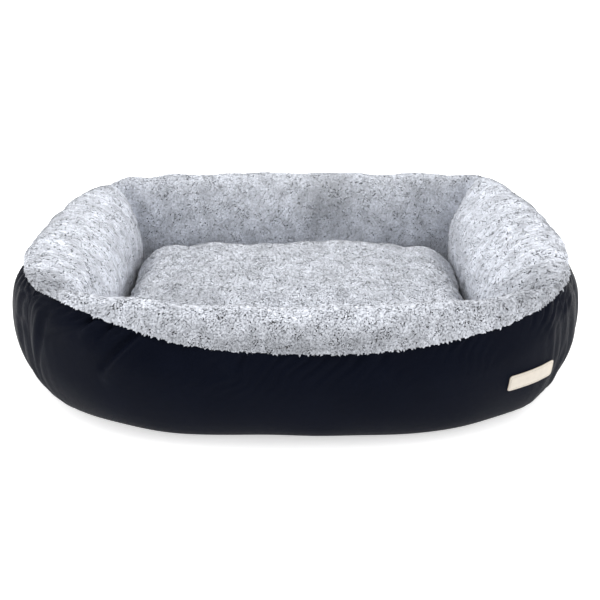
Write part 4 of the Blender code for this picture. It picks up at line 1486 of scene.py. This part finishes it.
@dataclass(kw_only=True)
class Cushion(Part):
    """The loose cushion: plush top, nylon underside, a cotton case and its fill."""

    body: str = "cushion"
    form: PillowForm = PillowForm()
    skin_depth: float = 0.0045
    backing_depth: float = 0.0073
    fullness: float = 0.003
    bulge: float = 0.0100
    end_bulge: float = 0.0035
    rear_bulge: float = 0.004
    under_share: float = 0.6
    cloth: float = 0.0012
    tufts: int = 37000
    padding: float = 0.8
    dents: tuple[tuple[tuple[float, float], float, float], ...] = (
        ((-0.125, -0.115), 0.055, -0.006),
        ((-0.165, 0.105), 0.070, -0.004),
        ((0.050, 0.090), 0.090, 0.004),
        ((0.205, -0.095), 0.050, -0.003),
        ((0.020, 0.020), 0.090, 0.002),
    )

    def __post_init__(self) -> None:
        """Makes the noises."""
        self.broad, self.lumpy = Ripple(0.16, 21), Ripple(0.055, 23)

    def build(self) -> None:
        """Inflates the cover, then builds its layers."""
        inflation = Inflation(self.form)
        self.top_moves, self.bottom_moves = inflation.moves()
        largest = float(np.linalg.norm(self.top_moves, axis=-1).max())
        LOG.info("cushion inflated: largest move %.4f m", largest)
        self.build_cover()
        self.build_inside()

    def places(self, size: tuple[int, int]) -> tuple[Array, Array, Array]:
        """Places over the square, evenly along the crown's arc, and their places in the moves."""
        turns = [np.sin(np.linspace(-1, 1, n) * math.pi / 2) for n in size]
        a, b = np.meshgrid(*turns, indexing="ij")
        steps = []
        for turn, count in zip(turns, self.top_moves.shape[:2]):
            t = np.linspace(-1, 1, count)
            steps.append(np.interp(turn, 0.5 * np.sin(t * math.pi / 2) + 0.5 * t, np.arange(count)))
        return a, b, np.stack(np.meshgrid(*steps, indexing="ij"), axis=-1).reshape(-1, 2)

    def zip_zone(self, points: Array) -> Array:
        """1 where the zip's tape lies on the cover, 0 away from it."""
        beside = smoothstep((0.200 - np.abs(points[..., 0])) / 0.012)
        above = smoothstep((0.021 - np.abs(points[..., 2] - self.form.seam)) / 0.006)
        return beside * above * (points[..., 1] > 0.15)

    def face(self, size: tuple[int, int], depth: Array | float, upper: bool = True) -> Surface:
        """One face of the cushion this deep, moved by its filling, facing out.

        Args:
            size: points along and across.
            depth: below the cover's surface.
            upper: the upper face, else the underside.

        Returns:
            The grid.
        """
        a, b, at = self.places(size)
        share = np.maximum(np.abs(a), np.abs(b))[..., None]
        free = smoothstep((1 - share) / 0.10)
        moves = self.top_moves if upper else self.bottom_moves
        moved = Surface(moves).read(moves, at).reshape(*size, 3)
        form = self.form.top if upper else self.form.bottom
        points = form(a, b, depth)
        near_zip = self.zip_zone(form(a, b))[..., None]
        if upper:
            lift = 0.0016 * self.broad(points) + 0.0012 * self.lumpy(points)
            edge = bump_at(share[..., 0], 0.86, 0.13)
            lift += self.fullness * edge * smoothstep((b + 0.75) / 0.5)
            for (x, y), width, height in self.dents:
                away = np.hypot(points[..., 0] - x, points[..., 1] - y)
                lift += height * bump_at(away, 0.0, width)
            out = self.bulge * bump_at(points[..., 2:], self.form.seam + 0.028, 0.026)
            sides = [smoothstep(np.abs(way) * 4 - 3) * np.sign(way) for way in (a, b)]
            sideways = np.stack(sides, -1)
            sideways[..., 0] *= 1 + self.end_bulge / self.bulge
            sideways[..., 1] *= 1 + self.rear_bulge / self.bulge * (b > 0)
            moved = moved + free * lift[..., None] * [0, 0, 1]
            moved[..., :2] += out * sideways
            points = points + moved * (1 - near_zip)
            points[..., 2] = np.maximum(points[..., 2], self.form.seam + self.form.seam_gap)
            return Surface(points)
        points = points + moved * (1 - near_zip) * self.under_share
        top = self.form.seam - self.form.seam_gap
        points[..., 2] = np.clip(points[..., 2], self.form.base, top)
        return Surface(points[::-1])

    def build_cover(self) -> None:
        """The plush top and the nylon underside."""
        size = (131, 95)
        a, b, _ = self.places(size)
        zone = self.zip_zone(self.form.top(a, b))
        skin = self.face(size, self.skin_depth * (1 - zone) + self.cloth * zone)
        inner = self.face(size, self.backing_depth)
        density = 1 - zone[:-1, :-1]
        low = skin.points[:-1, :-1, 2] < 0.075
        density = np.clip(np.where(low, 0.5, 1.0) * density, 0.0001, 1)
        cover = PlushCover(Pile(), skin, inner, np.array([0.05, -0.20, 0.0]), 31)
        shape = cover.shape(self.tufts, density)
        # The cushion takes the copy with painted shade.
        piece = shape.piece("cushion_plush_top", self.palette.plush_cushion_shaded)
        self.dress(piece, ["cushion_top_cover"], "fur", self.padding)
        outer, back = (self.face((91, 67), depth, upper=False) for depth in (0.0, self.cloth))
        piece = thick_sheet(outer, back).piece("cushion_nylon_base", self.palette.nylon)
        self.dress(piece, ["cushion_bottom_cover"], "shell_nylon", self.padding)

    def build_inside(self) -> None:
        """The two panels of the case, and the fill."""
        size = (61, 45)
        case, cloth = self.backing_depth + 0.0005, 0.0008
        above = thick_sheet(self.face(size, case), self.face(size, case + cloth))
        piece = above.piece("case_panel_top", self.palette.case)
        self.dress(piece, ["cushion_case_top"], "case_cloth")
        low = 0.0015
        outer, back = (self.face(size, depth, upper=False) for depth in (low, low + cloth))
        piece = thick_sheet(outer, back).piece("case_panel_base", self.palette.case)
        self.dress(piece, ["cushion_case_bottom"], "case_cloth")
        fill = case + cloth + 0.0003
        under = Surface(self.face(size, fill, upper=False).points[::-1])
        body = thick_sheet(self.face(size, fill), under)
        piece = body.piece("cushion_stuffing", self.palette.fibre)
        self.dress(piece, ["cushion_fill"], "polyester_fibre", self.padding)


# The zip


@dataclass(kw_only=True)
class Zip(Part):
    """The zip along the cushion's rear seam: tapes, coils, stops, slider and pull."""

    body: str = "cushion"
    form: PillowForm = PillowForm()
    half_length: float = 0.18
    tape: float = 0.0008
    tape_flat: float = 0.0062
    chain_y: float = 0.2041
    wire: float = 0.00034

    def build(self) -> None:
        """Builds both sides of the chain and its metal."""
        for side, word, reach in ((1, "upper", 0.0125), (-1, "lower", 0.0085)):
            self.build_tape(side, word, reach)
            self.build_coil(side, word)
        self.build_metal("zip_stop_left", "cushion", 0.0004)
        self.build_metal("zip_stop_right", "cushion", 0.0004)
        self.build_metal("zip_slider", "zip_slider", 0.00022)
        self.build_metal("zip_pull", "zip_pull", 0.0003)

    def cover_edge(self, rise: float) -> float:
        """How far back the cushion's surface is, this far above its seam or below it."""
        form = self.form
        if rise > 0:
            share = (1 - (rise / form.rise) ** 2) ** (1 / form.crown)
        else:
            share = form.flat + (1 - form.flat) * math.sqrt(1 - (rise / form.drop) ** 2)
        return form.middle + form.half_depth * share

    def build_tape(self, side: int, word: str, reach: float) -> None:
        """A tape: straight beside the chain, then bent in to the cover, with a faint wave."""
        bent = np.linspace(self.tape_flat, reach, 6)
        heights = np.array([0.0031, 0.0046, *bent])
        edge = self.cover_edge(side * reach) + 0.0006 + self.tape / 2
        t = np.clip((heights - self.tape_flat) / (reach - self.tape_flat), 0, 1)
        across = self.chain_y + (edge - self.chain_y) * t
        x = np.linspace(-self.half_length, self.half_length, 181)[::side]
        y = across[None, :] + 0.00010 * np.sin(x[:, None] * 260) * t
        z = self.form.seam + side * heights[None, :] + 0 * x[:, None]
        middle = Surface(np.stack([x[:, None] + 0 * y, y, z], axis=-1)[::-1])
        outer, inner = middle.moved(self.tape / 2), middle.moved(-self.tape / 2)
        piece = thick_sheet(outer, inner).piece(f"tape_{word}", self.palette.tape)
        self.dress(piece, [f"zip_tape_{word}"], "zip_tape")

    def build_coil(self, side: int, word: str) -> None:
        """A coil: y and z turn as an ellipse, flattened towards the tape, while x runs on."""
        turns, steps = 238, 8
        t = np.linspace(0, turns, turns * steps + 1)
        angle = 2 * math.pi * t
        radius = 0.0011 - self.wire
        x = -self.half_length + 0.0006 + t / turns * (2 * self.half_length - 0.0012)
        y = self.chain_y + radius * np.cos(angle)
        z = self.form.seam + side * (0.0017 + radius * np.sin(angle))
        x = x + 0.00022 * np.sin(angle + 0.6)
        coil = swept(np.stack([x, y, z], axis=-1), self.wire, 5)
        piece = coil.piece(f"coil_{word}", self.palette.coil)
        self.dress(piece, [f"zip_coil_{word}"], "zip_coil")

    def build_metal(self, node: str, body: str, bevel: float) -> None:
        """A rounded copy of a packed metal part."""
        work = bmesh.new()
        work.from_mesh(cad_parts[node].data)
        bmesh.ops.remove_doubles(work, verts=work.verts, dist=1e-5)
        flat = math.radians(2)
        bmesh.ops.dissolve_limit(work, angle_limit=flat, verts=work.verts, edges=work.edges)
        edge = math.radians(25)
        whole = [e for e in work.edges if len(e.link_faces) == 2]
        bmesh.ops.bevel(
            work, geom=[e for e in whole if e.calc_face_angle() > edge], offset=bevel, segments=2,
            profile=0.5, affect="EDGES", clamp_overlap=True,
        )  # fmt: skip
        bmesh.ops.triangulate(work, faces=work.faces)
        mesh = bpy.data.meshes.new(f"{node}_rounded")
        work.to_mesh(mesh)
        work.free()
        mesh.materials.append(self.palette.plated)
        mesh.shade_smooth()
        mesh.set_sharp_from_angle(angle=SHARP_METAL)
        piece = bpy.data.objects.new(f"{node}_rounded", mesh)
        bpy.context.scene.collection.objects.link(piece)
        self.dress_on(piece, node, body)

    def dress_on(self, piece: bpy.types.Object, node: str, body: str) -> None:
        """Rides a metal piece on its own body."""
        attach(piece, body)
        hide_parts(node)
        self.pieces.append(piece)


# Studio


@dataclass(frozen=True)
class Studio:
    """White floor, large soft lights and the camera above the low front side."""

    camera_place: tuple[float, float, float] = (0.0, -1.1104, 0.6401)
    camera_tilt: float = 62.72
    lens: float = 43.2
    shift: float = 0.0075
    world: float = 0.44
    sun: float = 1.30
    side_sun: float = 1.70
    floor_glow: float = 0.60

    def build(self) -> None:
        """Makes the floor, the lights and the camera."""
        self.floor()
        self.lights()
        self.camera()

    def floor(self) -> None:
        """A wide white floor just under the bed."""
        half, height = 9.0, -0.0004
        around = ((-half, -half), (half, -half), (half, half), (-half, half))
        corners = [(x, y, height) for x, y in around]
        mesh = bpy.data.meshes.new("studio_floor")
        mesh.from_pydata(corners, [], [(0, 1, 2, 3)])
        sketch = Sketch("studio_white")
        white = (0.93, 0.93, 0.93, 1)
        mesh.materials.append(
            sketch.finish(
                Base_Color=white, Roughness=0.9, Specular_IOR_Level=0.1,
                Emission_Color=white, Emission_Strength=self.floor_glow,
            )
        )  # fmt: skip
        made = bpy.data.objects.new("studio_floor", mesh)
        bpy.context.scene.collection.objects.link(made)

    def lights(self) -> None:
        """A white room, and very wide soft lights from above and from both sides."""
        world = bpy.data.worlds.new("studio_world")
        world.use_nodes = True
        back = world.node_tree.nodes["Background"]
        back.inputs["Color"].default_value = (1.0, 1.0, 1.0, 1)
        back.inputs["Strength"].default_value = self.world
        bpy.context.scene.world = world
        for name, energy, source in (
            ("soft_overhead", self.sun, (-0.05, 0.22, 1.0)),
            ("soft_left", self.side_sun, (-1.0, 0.0, 0.65)),
            ("soft_right", self.side_sun, (1.0, 0.0, 0.65)),
        ):
            data = bpy.data.lights.new(name, "SUN")
            data.energy, data.angle = energy, math.radians(60)
            lamp = bpy.data.objects.new(name, data)
            lamp.rotation_euler = Vector(source).to_track_quat("Z", "Y").to_euler()
            bpy.context.scene.collection.objects.link(lamp)

    def camera(self) -> None:
        """The camera at the front, looking down into the well."""
        data = bpy.data.cameras.new("camera")
        data.lens, data.sensor_width, data.shift_x = self.lens, 36.0, self.shift
        data.clip_start, data.clip_end = 0.05, 50.0
        made = bpy.data.objects.new("camera", data)
        made.location = self.camera_place
        made.rotation_euler = (math.radians(self.camera_tilt), 0.0, 0.0)
        bpy.context.scene.collection.objects.link(made)
        bpy.context.scene.camera = made
        bpy.context.scene.view_settings.view_transform = "Standard"


def main() -> None:
    """Builds the bed part by part and reports each piece."""
    logging.basicConfig(level=logging.INFO, format="%(name)s: %(message)s")
    palette, soft = Palette(), SoftForm()
    parts: list[Part] = [StuffedWall(palette=palette, wall=wall, soft=soft) for wall in Wall]
    parts += [Base(palette=palette), Patch(palette=palette, soft=soft)]
    parts += [Cushion(palette=palette), Zip(palette=palette)]
    for part in parts:
        part.build()
        part.report()
    Studio().build()


if __name__ == "__main__":
    main()
